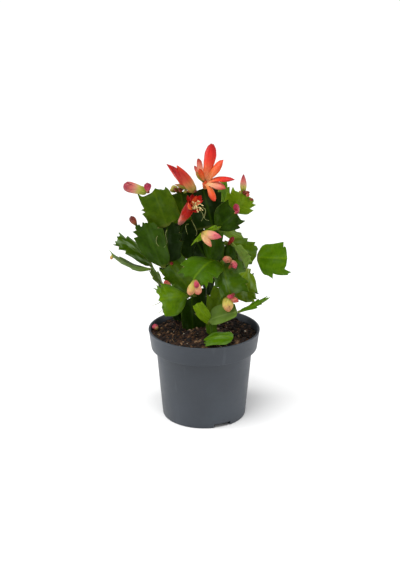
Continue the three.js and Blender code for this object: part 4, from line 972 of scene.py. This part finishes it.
# Each stands on a joint's apex and opens at its throat; tube gives its radius by shares of the way there.
# A petal's form is its outline, and deep is how far down the tube it starts.
FLOWERS = [
    dict(name="flower_open", on="centre_dark", seat=0.15, throat=(1, 2, 227), slot="flower_orange",
         tube=((0, 1.2), (0.14, 2.6), (0.35, 2.4), (0.6, 3.0), (0.78, 2.4), (0.86, 1)), radius=3.8,
         skin=TUBE_PINK,
         petals=(dict(tip=(-8, 1, 236), face=(0.3, -0.9, 0.1), width=5.5, bow=1, cup=1, tints=SEPAL),
                 dict(tip=(7, -2, 262), face=(-0.3, -0.9, 0.1), width=11.5, bow=2, cup=-2, tints=CORAL,
                      form="blunt"),
                 dict(tip=(17, -9, 249), face=(-0.3, -0.7, 0.5), width=9, bow=2, cup=-1.5, tints=ORANGE),
                 dict(tip=(27, -10, 231), face=(-0.1, -0.5, 0.9), width=8, bow=4, cup=-1.5, tints=CORAL),
                 dict(tip=(19, -11, 223), face=(0.1, -0.7, 0.7), width=9, bow=3, cup=-1.5, tints=BLUSH),
                 dict(tip=(9, -12, 212), face=(0.5, -0.9, 0.3), width=7.6, bow=3, cup=-1.5, tints=ORANGE,
                      form="blunt"),
                 dict(tip=(-6, 10, 246), face=(0.7, -0.7, 0.1), width=8, bow=-2, cup=1.5, tints=BLUSH,
                      form="blunt"),
                 dict(tip=(-9, 12, 239), face=(0.8, -0.5, 0.1), width=7, bow=-2, cup=1.5, tints=BLUSH,
                      form="blunt"),
                 dict(tip=(-5, -3, 240), face=(0.2, -0.9, 0.1), width=5, bow=1, cup=-1, tints=ORANGE))),
    dict(name="flower_half_open", on="centre_dark", seat=-0.65, throat=(-18, 9, 229), slot="flower_red",
         tube=((0, 2.6), (0.12, 4.2), (0.3, 4.3), (0.5, 4.9), (0.8, 4.9), (1.2, 3.9), (1.55, 2.2),
               (1.8, 0.5)),
         radius=5, skin=FLESH,
         petals=(dict(tip=(-34, 5, 242), face=(-0.4, -0.9, 0.1), width=11, bow=0, cup=-3, tints=CORAL,
                      form="spear", deep=9),
                 dict(tip=(-29, 3, 241), face=(0.4, -0.9, 0.5), width=9, bow=1, cup=-3, tints=CRIMSON,
                      form="spear", deep=9),
                 dict(tip=(-29, 4, 237), face=(0, -1, 0.1), width=7, bow=2, cup=-2, tints=CRIMSON,
                      form="spear", deep=7),
                 dict(tip=(-27, 8, 223), face=(-0.4, -0.9, -0.2), width=7, bow=1.5, cup=-2, tints=SEPAL,
                      form="spear", deep=13))),
    dict(name="flower_drooping", on="left_back", seat=-0.3, throat=(-12, -9, 207), slot="flower_red",
         tube=((0, 1.6), (0.12, 2.8), (0.3, 3.2), (0.62, 4.8), (1, 4.8)), radius=4.8, skin=TUBE_DEEP,
         stamens=(2.5, -1.5, -2),
         petals=(dict(tip=(-11, -6, 217), face=(0.6, -0.6, 0.2), width=9, bow=-1, cup=2, tints=SCARLET),
                 dict(tip=(-3, -10, 217), face=(0.2, -0.8, -0.4), width=8, bow=-1, cup=2, tints=CORAL),
                 dict(tip=(-5, -19, 204), face=(-0.6, 0.3, 0.7), width=6, bow=-1, cup=2, tints=SCARLET),
                 dict(tip=(-13, -21, 211), face=(0.5, 0.8, -0.1), width=8, bow=-1, cup=2, tints=ORANGE),
                 dict(tip=(-15, -9, 217), face=(0.3, -0.9, 0.3), width=3, bow=-1, cup=1, tints=SCARLET),
                 dict(tip=(-7, -14, 218), face=(0.1, -0.9, 0.3), width=3, bow=1, cup=1, tints=ORANGE),
                 dict(tip=(-1, -13, 213), face=(-0.3, -0.9, 0.3), width=3.4, bow=1.5, cup=1, tints=CORAL))),
]
PETAL_OUTLINES = {
    "oval": ((0, 0.55), (0.2, 0.72), (0.45, 0.96), (0.66, 1), (0.86, 0.68), (1, 0.05)),
    "spear": ((0, 0.9), (0.25, 1), (0.5, 0.86), (0.75, 0.52), (1, 0.04)),
    "blunt": ((0, 0.45), (0.2, 0.6), (0.5, 0.9), (0.72, 1), (0.9, 0.74), (1, 0.24)),
}
PETAL_RING = 0.36  # share of the tube's radius at which the petals leave it
PETAL_SUNK = 3.2  # how deep in the tube they start
PETAL_THICK = 0.55
STAMEN_COUNT = 16
STAMEN_SEED = 5
STAMEN_RADII = (0.26, 0.2)
STAMEN_PITH = ((0.3, 2.0), (0.8, 1.9), (1.3, 1.8), (1.8, 1.6), (2.3, 1.3))  # height and radius
ANTHER = 0.55


def petal_sheet(shape, root, petal, rng):
    grown = blade_frame(root, petal["tip"], petal["face"])
    outline = PETAL_OUTLINES[petal.get("form", "oval")]
    rows, columns = 26, 11
    front = np.zeros((rows, columns, 3))
    back = np.zeros_like(front)
    colours = np.zeros((rows, columns, 4))
    phase = rng.uniform(0, 6.3)
    for i in range(rows):
        s = i / (rows - 1)
        share = outline_at(outline, s)
        point, _, out = rib_at(grown, petal["bow"], s)
        for j in range(columns):
            c = 2 * j / (columns - 1) - 1
            fold = petal["cup"] * c * c * share
            frill = 0.35 * c * abs(c) * math.sin(9 * s + phase + 2 * (c > 0))
            groove = -0.22 * math.exp(-(c / 0.16) ** 2) * math.sin(math.pi * s)
            middle = point + grown["across"] * c * petal["width"] / 2 * share
            middle = middle + out * (fold + frill + groove)
            thick = PETAL_THICK * math.sqrt(max(0, 1 - c * c)) * math.sqrt(max(0, 1 - s ** 4)) + 0.02
            front[i, j] = middle + out * thick / 2
            back[i, j] = middle - out * thick / 2
            colours[i, j] = blend(petal["tints"], min(1, s + 0.08 * abs(c) ** 3))
    close_border(front, back)
    shape.sheet(front, back, colours)


def petal_root(flower, throat, axis, petal):
    lean = np.asarray(petal["tip"], float) - throat
    lean = unit(lean - axis * lean.dot(axis))
    return throat - axis * petal.get("deep", PETAL_SUNK) + lean * PETAL_RING * flower["radius"]


def add_flowers(rows, grown, finish):
    for flower in FLOWERS:
        rng = random.Random(flower["name"])
        throat = np.array(flower["throat"], float)
        seat, ahead = foot_of(flower, rows, grown, throat, flower["tube"][0][1])
        axis = unit(throat - seat)
        end = flower["tube"][-1][0]
        shares = np.linspace(0, 1, 26)
        radii = outline_at([(s / end, r) for s, r in flower["tube"]], shares)
        start = seat - ahead * BUD_SUNK
        path = [start + (throat - start) * s * end for s in shares]
        shape = Shape()
        shape.tube(path, radii, 20, blend(flower["skin"], shares), lobes=0.03)
        for petal in flower["petals"]:
            petal_sheet(shape, petal_root(flower, throat, axis, petal), petal, rng)
        keep(shape.object("petals_" + flower["name"], finish), flower["slot"], flower["name"])
        if "stamens" in flower:
            add_stamens(throat + np.array(flower["stamens"]), axis)


def add_stamens(mouth, axis):
    """A spray of pale filaments with small anthers, out of the drooping flower's mouth."""
    rng = random.Random(STAMEN_SEED)
    shape = Shape()
    heights, radii = zip(*STAMEN_PITH)
    shape.tube([mouth + axis * height for height in heights], radii, 12)
    side = unit(np.cross(axis, (0, 0, 1)))
    up = np.cross(axis, side)
    for i in range(STAMEN_COUNT):
        turn = 2 * math.pi * i / STAMEN_COUNT + rng.uniform(-0.15, 0.15)
        around = math.cos(turn) * side + math.sin(turn) * up
        reach = rng.uniform(9.5, 14)
        spread = rng.uniform(1.6, 3.4)
        s = np.linspace(0, 1, 12)
        ahead = 0.9 + reach * (1.5 * s - 0.5 * s ** 2)
        out = 0.8 + spread * s ** 0.6
        sag = -rng.uniform(1.5, 5.5) * s ** 2
        path = [mouth + axis * a + around * o + np.array((0, 0, z)) for a, o, z in zip(ahead, out, sag)]
        shape.tube(path, np.linspace(*STAMEN_RADII, 12), 6)
        turn_away = unit(path[-1] - path[-2] + 0.5 * around)
        pod = [path[-1] + turn_away * d for d in np.linspace(-0.3, 1.3, 6)]
        shape.tube(pod, ANTHER * np.array([0.3, 0.9, 1, 1, 0.8, 0.3]), 8)
    keep(shape.object("filaments", thread_finish("stamen_skin", 0.5)), "stamen_cream", "stamens")


# ---- Young buds, hairs and air roots ----
# Each: where its foot is, where its point is, its radius and tints.
YOUNG_BUDS = (
    ((-27, 17, 213), (-31.5, 15, 216), 1.5, GREEN_BUD), ((-25, 16, 213), (-27, 12, 218), 1.4, RUSTY_BUD),
    ((-21, 15, 213), (-22.5, 11, 218), 1.6, RUSTY_BUD), ((-19, 15, 213), (-16.5, 11, 216), 1.4, GREEN_BUD),
    ((-16, 13, 214), (-12, 9, 218), 1.5, RUSTY_BUD), ((-11, 13, 214.5), (-7, 8, 216.5), 1.3, RUSTY_BUD),
    ((36, 19, 210), (37, 15, 215), 1.3, RUSTY_BUD), ((38.5, 18, 209), (41, 14, 211.5), 1.5, SALMON_BUD),
    ((41, 17, 207), (45, 13, 206.5), 1.3, RUSTY_BUD), ((34, 19, 211), (32.5, 15, 214.5), 1.2, GREEN_BUD),
    ((18, 8, 199), (19, 4, 206), 1.7, CREAM_BUD), ((-84.5, 0, 158), (-86, -3, 154.5), 1.5, CREAM_BUD),
    ((-30.5, 4, 147.5), (-30, 0, 150), 1.5, RED_BUD),
    ((-8, -37.5, 146), (-6.5, -44.5, 141.5), 2.2, ROSE_BUD),
    ((27, -8, 200), (31, -11, 202), 1.3, ROSE_BUD), ((22, -18, 150), (25, -22, 156), 1.3, RUSTY_BUD),
    ((-53, -9, 219.5), (-49, -12, 220.5), 1.2, RUSTY_BUD), ((-31, 4, 124), (-37, 1, 132), 2.6, SALMON_BUD),
    ((24, -26, 126), (27, -31, 131), 1.5, RUSTY_BUD),
)
# Thin pale roots that leave the stems: their bends, one after another.
AIR_ROOTS = (
    ((-34, -4, 183), (-35, -7, 178), (-34, -9, 173), (-37, -10, 168)),
    ((-38, -7, 180), (-43, -10, 178), (-43.5, -11, 173), (-41, -12, 170)),
    ((-16, 5, 186), (-17, 0, 184), (-15, -2, 178)),
    ((-12, 4, 190), (-9, 0, 186), (-7, -2, 181), (-8, -3, 177)),
    ((-2, -8, 205), (1, -14, 203), (0, -18, 199), (4, -19, 196)),
    ((-4, -9, 203), (-1, -14, 199), (-3, -17, 195)),
    ((-40, -17, 118), (-46, -20, 116), (-50, -21, 117)),
    ((-36, -19, 114), (-40, -21, 110), (-44, -21, 108)),
)
HAIRS_PER_NOTCH = 4
GROWTH_SEED = 21


def curve_through(bends, count=18):
    """A smooth path through the bends."""
    bends = np.array(bends, float)
    at = np.linspace(0, 1, len(bends))
    degree = min(3, len(bends) - 1)
    fits = [np.polynomial.Polynomial.fit(at, bends[:, k], degree) for k in range(3)]
    shares = np.linspace(0, 1, count)
    return np.stack([fit(shares) for fit in fits], -1)


def add_young_buds(finish, rng):
    shape = Shape()
    for bud in YOUNG_BUDS:
        Bud(*bud).draw(shape, rng)
    keep(shape.object("young_buds", finish), "bud_orange")


def add_air_roots():
    shape = Shape()
    for bends in AIR_ROOTS:
        path = curve_through(bends)
        shape.tube(path, np.linspace(0.34, 0.16, len(path)), 6)
    keep(shape.object("air_roots", thread_finish("root_skin", 0.6)), "stem_pale")


def add_hairs(grown, rng):
    """A few stiff hairs in each notch of a joint's margin."""
    shape = Shape()
    for row in JOINTS:
        blade = grown[row["name"]]
        for side, teeth in enumerate(row["teeth"]):
            outward = blade["across"] * (1 if side else -1)
            for s in np.array(teeth) + NOTCH_RUN:
                half = margin(np.array([s]), row, blade["length"], side)[0]
                point, ahead, out = rib_at(blade, row["bow"], s)
                start = point + outward * (half - 0.3) + out * row["cup"]
                for _ in range(HAIRS_PER_NOTCH):
                    way = outward * rng.uniform(0.7, 1) + ahead * rng.uniform(0, 0.9)
                    way = unit(way + out * rng.uniform(-0.5, 0.5))
                    reach = rng.uniform(0.9, 2.2)
                    path = [start + way * reach * q for q in (0, 0.35, 0.7, 1)]
                    shape.tube(path, (0.09, 0.08, 0.06, 0.03), 4)
    keep(shape.object("notch_hairs", thread_finish("hair_skin", 0.7)), "stem_pale")


def add_small_growth(grown, finish):
    rng = random.Random(GROWTH_SEED)
    add_young_buds(finish, rng)
    add_air_roots()
    add_hairs(grown, rng)


# ---- Pot ----
POT_SIDES = 192
POT_CREASE = 35  # degrees
POT_HEIGHT = 86
BAND_FOOT = 67.7
RIM_RADIUS, BAND_RADIUS, BODY_TOP, FOOT_RADIUS = 52.5, 50.1, 45.4, 39.9
STAND_RADIUS, CHANNEL_RADIUS, CHANNEL_HEIGHT = 28, 36.5, 4
WALL, BAND_WALL, LIP_WALL, FLOOR_TOP, STAND_TOP = 1.5, 1.7, 2, 5.6, 1.6
NOTCHES = dict(count=3, width=17, height=4, depth=8, first=-64)  # first: degrees
DRAINS = dict(count=8, radius=3, ring=32.2, drill=8, sides=24)
BOX_FACES = ((0, 3, 2, 1), (4, 5, 6, 7), (0, 1, 5, 4), (1, 2, 6, 5), (2, 3, 7, 6), (3, 0, 4, 7))


def wall_inside(z):
    return FOOT_RADIUS + (BODY_TOP - FOOT_RADIUS) / BAND_FOOT * z - WALL


def rounded(corner, before, after, radius, steps=5):
    """A short arc in place of a corner of the profile."""
    corner, before, after = (np.array(p, float) for p in (corner, before, after))
    start = corner + unit(before - corner) * radius
    end = corner + unit(after - corner) * radius
    shares = np.linspace(0, 1, steps)
    return [tuple((1 - q) ** 2 * start + 2 * q * (1 - q) * corner + q ** 2 * end) for q in shares]


def pot_profile():
    """Out from the middle of the underside, up the outside, and back down the inside."""
    corners = [
        ((STAND_RADIUS, 0), 0.3),
        ((STAND_RADIUS + 0.6, CHANNEL_HEIGHT), 0),
        ((CHANNEL_RADIUS, CHANNEL_HEIGHT), 0),
        ((CHANNEL_RADIUS + 0.6, 0), 0.3),
        ((FOOT_RADIUS - 0.2, 0), 1.2),
        ((BODY_TOP, BAND_FOOT - 1.2), 0.5),
        ((BODY_TOP + 1.2, BAND_FOOT), 0.4),
        ((BAND_RADIUS - 0.1, BAND_FOOT), 0.7),
        ((BAND_RADIUS + 0.35, BAND_FOOT + 3.2), 0.5),
        ((RIM_RADIUS - 0.25, POT_HEIGHT - 1.7), 0.4),
        ((RIM_RADIUS, POT_HEIGHT - 1.2), 0.3),
        ((RIM_RADIUS, POT_HEIGHT), 0.6),
        ((RIM_RADIUS - LIP_WALL, POT_HEIGHT), 0.8),
        ((BAND_RADIUS - BAND_WALL, BAND_FOOT + 2.4), 0.6),
        ((wall_inside(BAND_FOOT), BAND_FOOT), 0.6),
        ((wall_inside(FLOOR_TOP), FLOOR_TOP), 0.8),
        ((STAND_RADIUS, FLOOR_TOP), 0.5),
        ((STAND_RADIUS - WALL, STAND_TOP), 0.4),
    ]
    places = [(0, 0)] + [corner for corner, _ in corners] + [(0, STAND_TOP)]
    points = [places[0]]
    for k, (corner, radius) in enumerate(corners, 1):
        points += rounded(corner, places[k - 1], places[k + 1], radius) if radius else [corner]
    return points + [places[-1]]


def ring(radius, height, sides):
    """A ring of points, at one height or at the height that a rule gives for each."""
    points = []
    for turn in 2 * np.pi * np.arange(sides) / sides:
        z = height(radius, turn) if callable(height) else height
        points.append((radius * math.cos(turn), radius * math.sin(turn), z))
    return points


def turned(profile, sides):
    """A closed body round the upright axis, on which its profile starts and ends."""
    points = [(0, 0, profile[0][1])]
    for radius, height in profile[1:-1]:
        points += ring(radius, height, sides)
    points.append((0, 0, profile[-1][1]))
    return points, ring_faces(len(profile) - 2, sides)


def notch_corners(turn):
    """The eight corners of a block set across the foot ring."""
    half = NOTCHES["width"] / 2
    low, high = FOOT_RADIUS - NOTCHES["depth"] / 2, FOOT_RADIUS + NOTCHES["depth"] / 2
    flat = [(low, -half), (high, -half), (high, half), (low, half)]
    cos, sin = math.cos(turn), math.sin(turn)
    spun = [(x * cos - y * sin, x * sin + y * cos) for x, y in flat]
    return [(x, y, z) for z in (-NOTCHES["height"], NOTCHES["height"]) for x, y in spun]


def foot_cutter():
    """The foot's notches and the drain holes, as one body to cut away."""
    points, faces = [], []

    def add(corners, sides):
        start = len(points)
        points.extend(corners)
        faces.extend([start + i for i in side] for side in sides)

    for i in range(NOTCHES["count"]):
        add(notch_corners(math.radians(NOTCHES["first"] + 360 / NOTCHES["count"] * i)), BOX_FACES)
    sides = DRAINS["sides"]
    walls = [(k, (k + 1) % sides, sides + (k + 1) % sides, sides + k) for k in range(sides)]
    ends = [tuple(reversed(range(sides))), tuple(range(sides, 2 * sides))]
    for i in range(DRAINS["count"]):
        turn = 2 * math.pi * i / DRAINS["count"]
        x, y = DRAINS["ring"] * math.cos(turn), DRAINS["ring"] * math.sin(turn)
        rings = ring(DRAINS["radius"], FLOOR_TOP - DRAINS["drill"] / 2, sides)
        rings += ring(DRAINS["radius"], FLOOR_TOP + DRAINS["drill"] / 2, sides)
        add([(x + a, y + b, z) for a, b, z in rings], walls + ends)
    return put_in_scene("foot_cutter", mesh_of("foot_cutter", points, faces))


def plain_copy(source, name):
    """The object's mesh as its modifiers leave it, in an object with none."""
    bpy.context.view_layer.update()
    graph = bpy.context.evaluated_depsgraph_get()
    mesh = bpy.data.meshes.new_from_object(source.evaluated_get(graph), depsgraph=graph)
    mesh.name = name
    bpy.data.objects.remove(source)
    return put_in_scene(name, mesh)


def add_pot():
    blank = put_in_scene("pot_blank", mesh_of("pot_blank", *turned(pot_profile(), POT_SIDES)))
    cutter = foot_cutter()
    cut = blank.modifiers.new("foot", "BOOLEAN")
    cut.operation = "DIFFERENCE"
    cut.object = cutter
    cut.solver = "EXACT"
    pot = plain_copy(blank, "nursery_pot")
    bpy.data.objects.remove(cutter)
    pot.data.materials.clear()
    pot.data.materials.append(pot_finish())
    smooth(pot.data)
    pot.data.set_sharp_from_angle(angle=math.radians(POT_CREASE))
    keep(pot, "pot_plastic", "pot")


# ---- Peat ----
SOIL_EDGE, SOIL_CROWN, SOIL_TILT, SOIL_LOW_SIDE = 80.5, 83.2, 1.2, 0.6
SOIL_RADIUS = 49.55
SOIL_RINGS, SOIL_SIDES = 46, 220
SOIL_GAP = 0.3  # clear of the pot
# Each: the width of its lumps, the place in the pattern and their height.
ROUGHNESS = ((6.5, 3.1, 1.1), (2.1, 7.7, 0.65), (0.8, 1.7, 0.3))


def soil_top(radius, angle):
    share = radius / SOIL_RADIUS
    dome = SOIL_CROWN + (SOIL_EDGE - SOIL_CROWN) * share ** 3
    low = SOIL_TILT * share ** 3 * math.cos(angle - SOIL_LOW_SIDE)
    waves = 0.9 * math.sin(3 * angle + 0.19 * radius) + 0.5 * math.sin(5 * angle - 0.3 * radius)
    return dome - low + min(1, 3 * share) * waves


def rough_top(radius, angle):
    """The bed's height with clods and hollows; they fade towards the wall."""
    x, y = radius * math.cos(angle), radius * math.sin(angle)
    lumps = sum(noise.noise(Vector((x / width, y / width, z))) * height for width, z, height in ROUGHNESS)
    calm = min(1, (SOIL_RADIUS - radius) / 3 + 0.25)
    return soil_top(radius, angle) + calm * lumps


def add_soil():
    bottom = FLOOR_TOP + SOIL_GAP
    levels = [(wall_inside(bottom) - SOIL_GAP, bottom), (wall_inside(BAND_FOOT) - SOIL_GAP, BAND_FOOT),
              (BAND_RADIUS - BAND_WALL - SOIL_GAP, BAND_FOOT + 2.7)]
    levels += [(SOIL_RADIUS * (1 - k / SOIL_RINGS), rough_top) for k in range(SOIL_RINGS)]
    points = [(0, 0, bottom)]
    for radius, height in levels:
        points += ring(radius, height, SOIL_SIDES)
    points.append((0, 0, rough_top(0, 0)))
    shape = Shape()
    shape.add(points, ring_faces(len(levels), SOIL_SIDES), [(0, 0)] * len(points))
    keep(shape.object("peat_bed", peat_finish()), "soil_peat", "soil")


# ---- Loose grains, laid on the peat by node trees ----
def top_patch():
    """The bed's top alone, as a ground for loose grains."""
    rings, sides = 24, 72
    points = [(0, 0, rough_top(0, 0))]
    for k in range(1, rings + 1):
        points += ring((SOIL_RADIUS - 1.2) * k / rings, rough_top, sides)
    faces = [(0, 1 + i, 1 + (i + 1) % sides) for i in range(sides)]
    for a in range(1, 1 + (rings - 1) * sides, sides):
        for i in range(sides):
            m = (i + 1) % sides
            faces.append((a + i, a + sides + i, a + sides + m, a + m))
    return put_in_scene("ground", mesh_of("ground", points, faces))


GRAIN_LUMPS = 700.0


class Grains:
    """A node tree that strews one kind of grain over a ground, each turned and sized by chance."""

    def __init__(self, name):
        self.tree = bpy.data.node_groups.new(name, "GeometryNodeTree")
        self.tree.is_modifier = True
        face = self.tree.interface
        face.new_socket("Ground", in_out="INPUT", socket_type="NodeSocketGeometry")
        self.sockets = {}
        for title in ("Density", "Seed", "Smallest", "Largest"):
            kind = "NodeSocketInt" if title == "Seed" else "NodeSocketFloat"
            made = face.new_socket(title, in_out="INPUT", socket_type=kind)
            self.sockets[title] = made.identifier
        face.new_socket("Grains", in_out="OUTPUT", socket_type="NodeSocketGeometry")
        self.entry = self.tree.nodes.new("NodeGroupInput")
        self.exit = self.tree.nodes.new("NodeGroupOutput")

    def node(self, kind, inputs=None, **settings):
        return add_node(self.tree, kind, inputs, settings)

    def chance(self, low, high, seed, kind="FLOAT"):
        made = self.node("FunctionNodeRandomValue", data_type=kind)
        slots = [socket for socket in made.inputs if socket.enabled]
        fill(self.tree, [slots[0], slots[1], slots[-1]], [low, high, seed])
        return next(socket for socket in made.outputs if socket.enabled)

    def strew(self, grain, stretch, tilt, rough, material):
        """Grains turned, stretched, toned and roughened by chance, each seeded."""
        entry = self.entry.outputs
        inputs = {"Mesh": entry["Ground"], "Density": entry["Density"], "Seed": entry["Seed"]}
        spread = self.node("GeometryNodeDistributePointsOnFaces", inputs)
        size = self.chance(entry["Smallest"], entry["Largest"], 1)
        shape = self.chance(*stretch, 2, "FLOAT_VECTOR")
        sized = self.node("ShaderNodeVectorMath", {0: shape, "Scale": size}, operation="SCALE")
        turn = self.chance((-tilt, -tilt, 0), (tilt, tilt, 2 * math.pi), 3, "FLOAT_VECTOR")
        inputs = {"Points": spread.outputs["Points"], "Instance": grain, "Rotation": turn}
        laid = self.node("GeometryNodeInstanceOnPoints", {**inputs, "Scale": sized.outputs["Vector"]})
        inputs = {"Geometry": laid.outputs[0], "Name": "grain_tone"}
        toned = self.node("GeometryNodeStoreNamedAttribute", inputs, data_type="FLOAT", domain="INSTANCE")
        value = next(socket for socket in toned.inputs if socket.name == "Value" and socket.enabled)
        fill(self.tree, [value], [self.chance(0.0, 1.0, 4)])
        real = self.node("GeometryNodeRealizeInstances", {"Geometry": toned.outputs[0]})
        cloud = self.node("ShaderNodeTexNoise", {"Scale": GRAIN_LUMPS, "Detail": 2.0})
        inputs = {0: cloud.outputs["Color"], 1: (0.5, 0.5, 0.5)}
        centred = self.node("ShaderNodeVectorMath", inputs, operation="SUBTRACT")
        inputs = {0: centred.outputs["Vector"], "Scale": rough}
        push = self.node("ShaderNodeVectorMath", inputs, operation="SCALE")
        inputs = {"Geometry": real.outputs[0], "Offset": push.outputs["Vector"]}
        bent = self.node("GeometryNodeSetPosition", inputs)
        skin = self.node("GeometryNodeSetMaterial", {"Geometry": bent.outputs[0], "Material": material})
        fill(self.tree, [self.exit.inputs["Grains"]], [skin.outputs[0]])

    def lay(self, name, ground, **values):
        strewn = ground.modifiers.new("grains", "NODES")
        strewn.node_group = self.tree
        for title, value in values.items():
            strewn[self.sockets[title]] = value
        return plain_copy(ground, name)


def crumb(grains):
    ball = grains.node("GeometryNodeMeshIcoSphere", {"Radius": 1.0, "Subdivisions": 2})
    return ball.outputs["Mesh"]


def fibre(grains):
    inputs = {"Vertices": 5, "Side Segments": 7, "Radius": 0.045, "Depth": 2.0}
    rod = grains.node("GeometryNodeMeshCylinder", inputs).outputs["Mesh"]
    inputs = {"Geometry": rod, "Rotation": (0, math.pi / 2, 0)}
    return grains.node("GeometryNodeTransform", inputs).outputs[0]


# Each kind of loose grain: its finish, tints, roughness, form, least and most stretch, tilt, unevenness,
# and the values of its node tree, in metres.
GRAIN_KINDS = {
    "peat_crumbs": dict(
        finish="peat_crumb", rough=0.95, form=crumb,
        tints=((0.0, "0C0603"), (0.5, "1E1007"), (0.78, "3A2210"), (0.92, "6C4824"), (1.0, "A88460")),
        stretch=((0.7, 0.6, 0.5), (1.4, 1.1, 0.95)), tilt=0.9, uneven=0.0013,
        values=dict(Density=120000.0, Seed=3, Smallest=0.0005, Largest=0.002)),
    "bark_chips": dict(
        finish="bark_chip", rough=0.8, form=crumb,
        # The palest chip tints are partly pale bark and partly painted glints.
        tints=((0.0, "120904"), (0.45, "2E1A0D"), (0.72, "6A4424"), (0.9, "B08A64"), (1.0, "D8BC9C")),
        stretch=((0.9, 0.35, 0.2), (1.6, 0.7, 0.4)), tilt=0.5, uneven=0.0007,
        values=dict(Density=20000.0, Seed=5, Smallest=0.0008, Largest=0.0034)),
    "perlite_beads": dict(
        finish="perlite", rough=0.9, form=crumb,
        tints=((0.0, "9A8E78"), (0.6, "C2B8A2"), (1.0, "E6E0D0")),
        stretch=((0.7, 0.7, 0.5), (1.1, 1.1, 0.9)), tilt=0.9, uneven=0.0006,
        values=dict(Density=9000.0, Seed=8, Smallest=0.0004, Largest=0.0011)),
    "coir_fibres": dict(
        finish="coir_fibre", rough=0.8, form=fibre,
        tints=((0.0, "4A2E18"), (0.5, "8A6238"), (1.0, "C09A64")),
        stretch=((0.7, 0.7, 0.7), (1.3, 1.2, 1.2)), tilt=0.35, uneven=0.0022,
        values=dict(Density=32000.0, Seed=9, Smallest=0.0015, Largest=0.004)),
}


def add_grains():
    for name, kind in GRAIN_KINDS.items():
        material = grain_finish(kind["finish"], kind["tints"], kind["rough"])
        grains = Grains("strewn_" + name)
        grains.strew(kind["form"](grains), kind["stretch"], kind["tilt"], kind["uneven"], material)
        piece = grains.lay(name, top_patch(), **kind["values"])
        smooth(piece.data)
        keep(piece, "soil_peat")


# ---- The whole ----
def main():
    add_camera()
    add_studio()
    add_floor()
    rows, grown = grow_joints()
    add_joints(grown)
    petals = petal_finish("petal_skin", 0.42, 0.18)
    add_buds(rows, grown, petals)
    add_flowers(rows, grown, petals)
    add_small_growth(grown, petals)
    add_pot()
    add_soil()
    add_grains()


main()
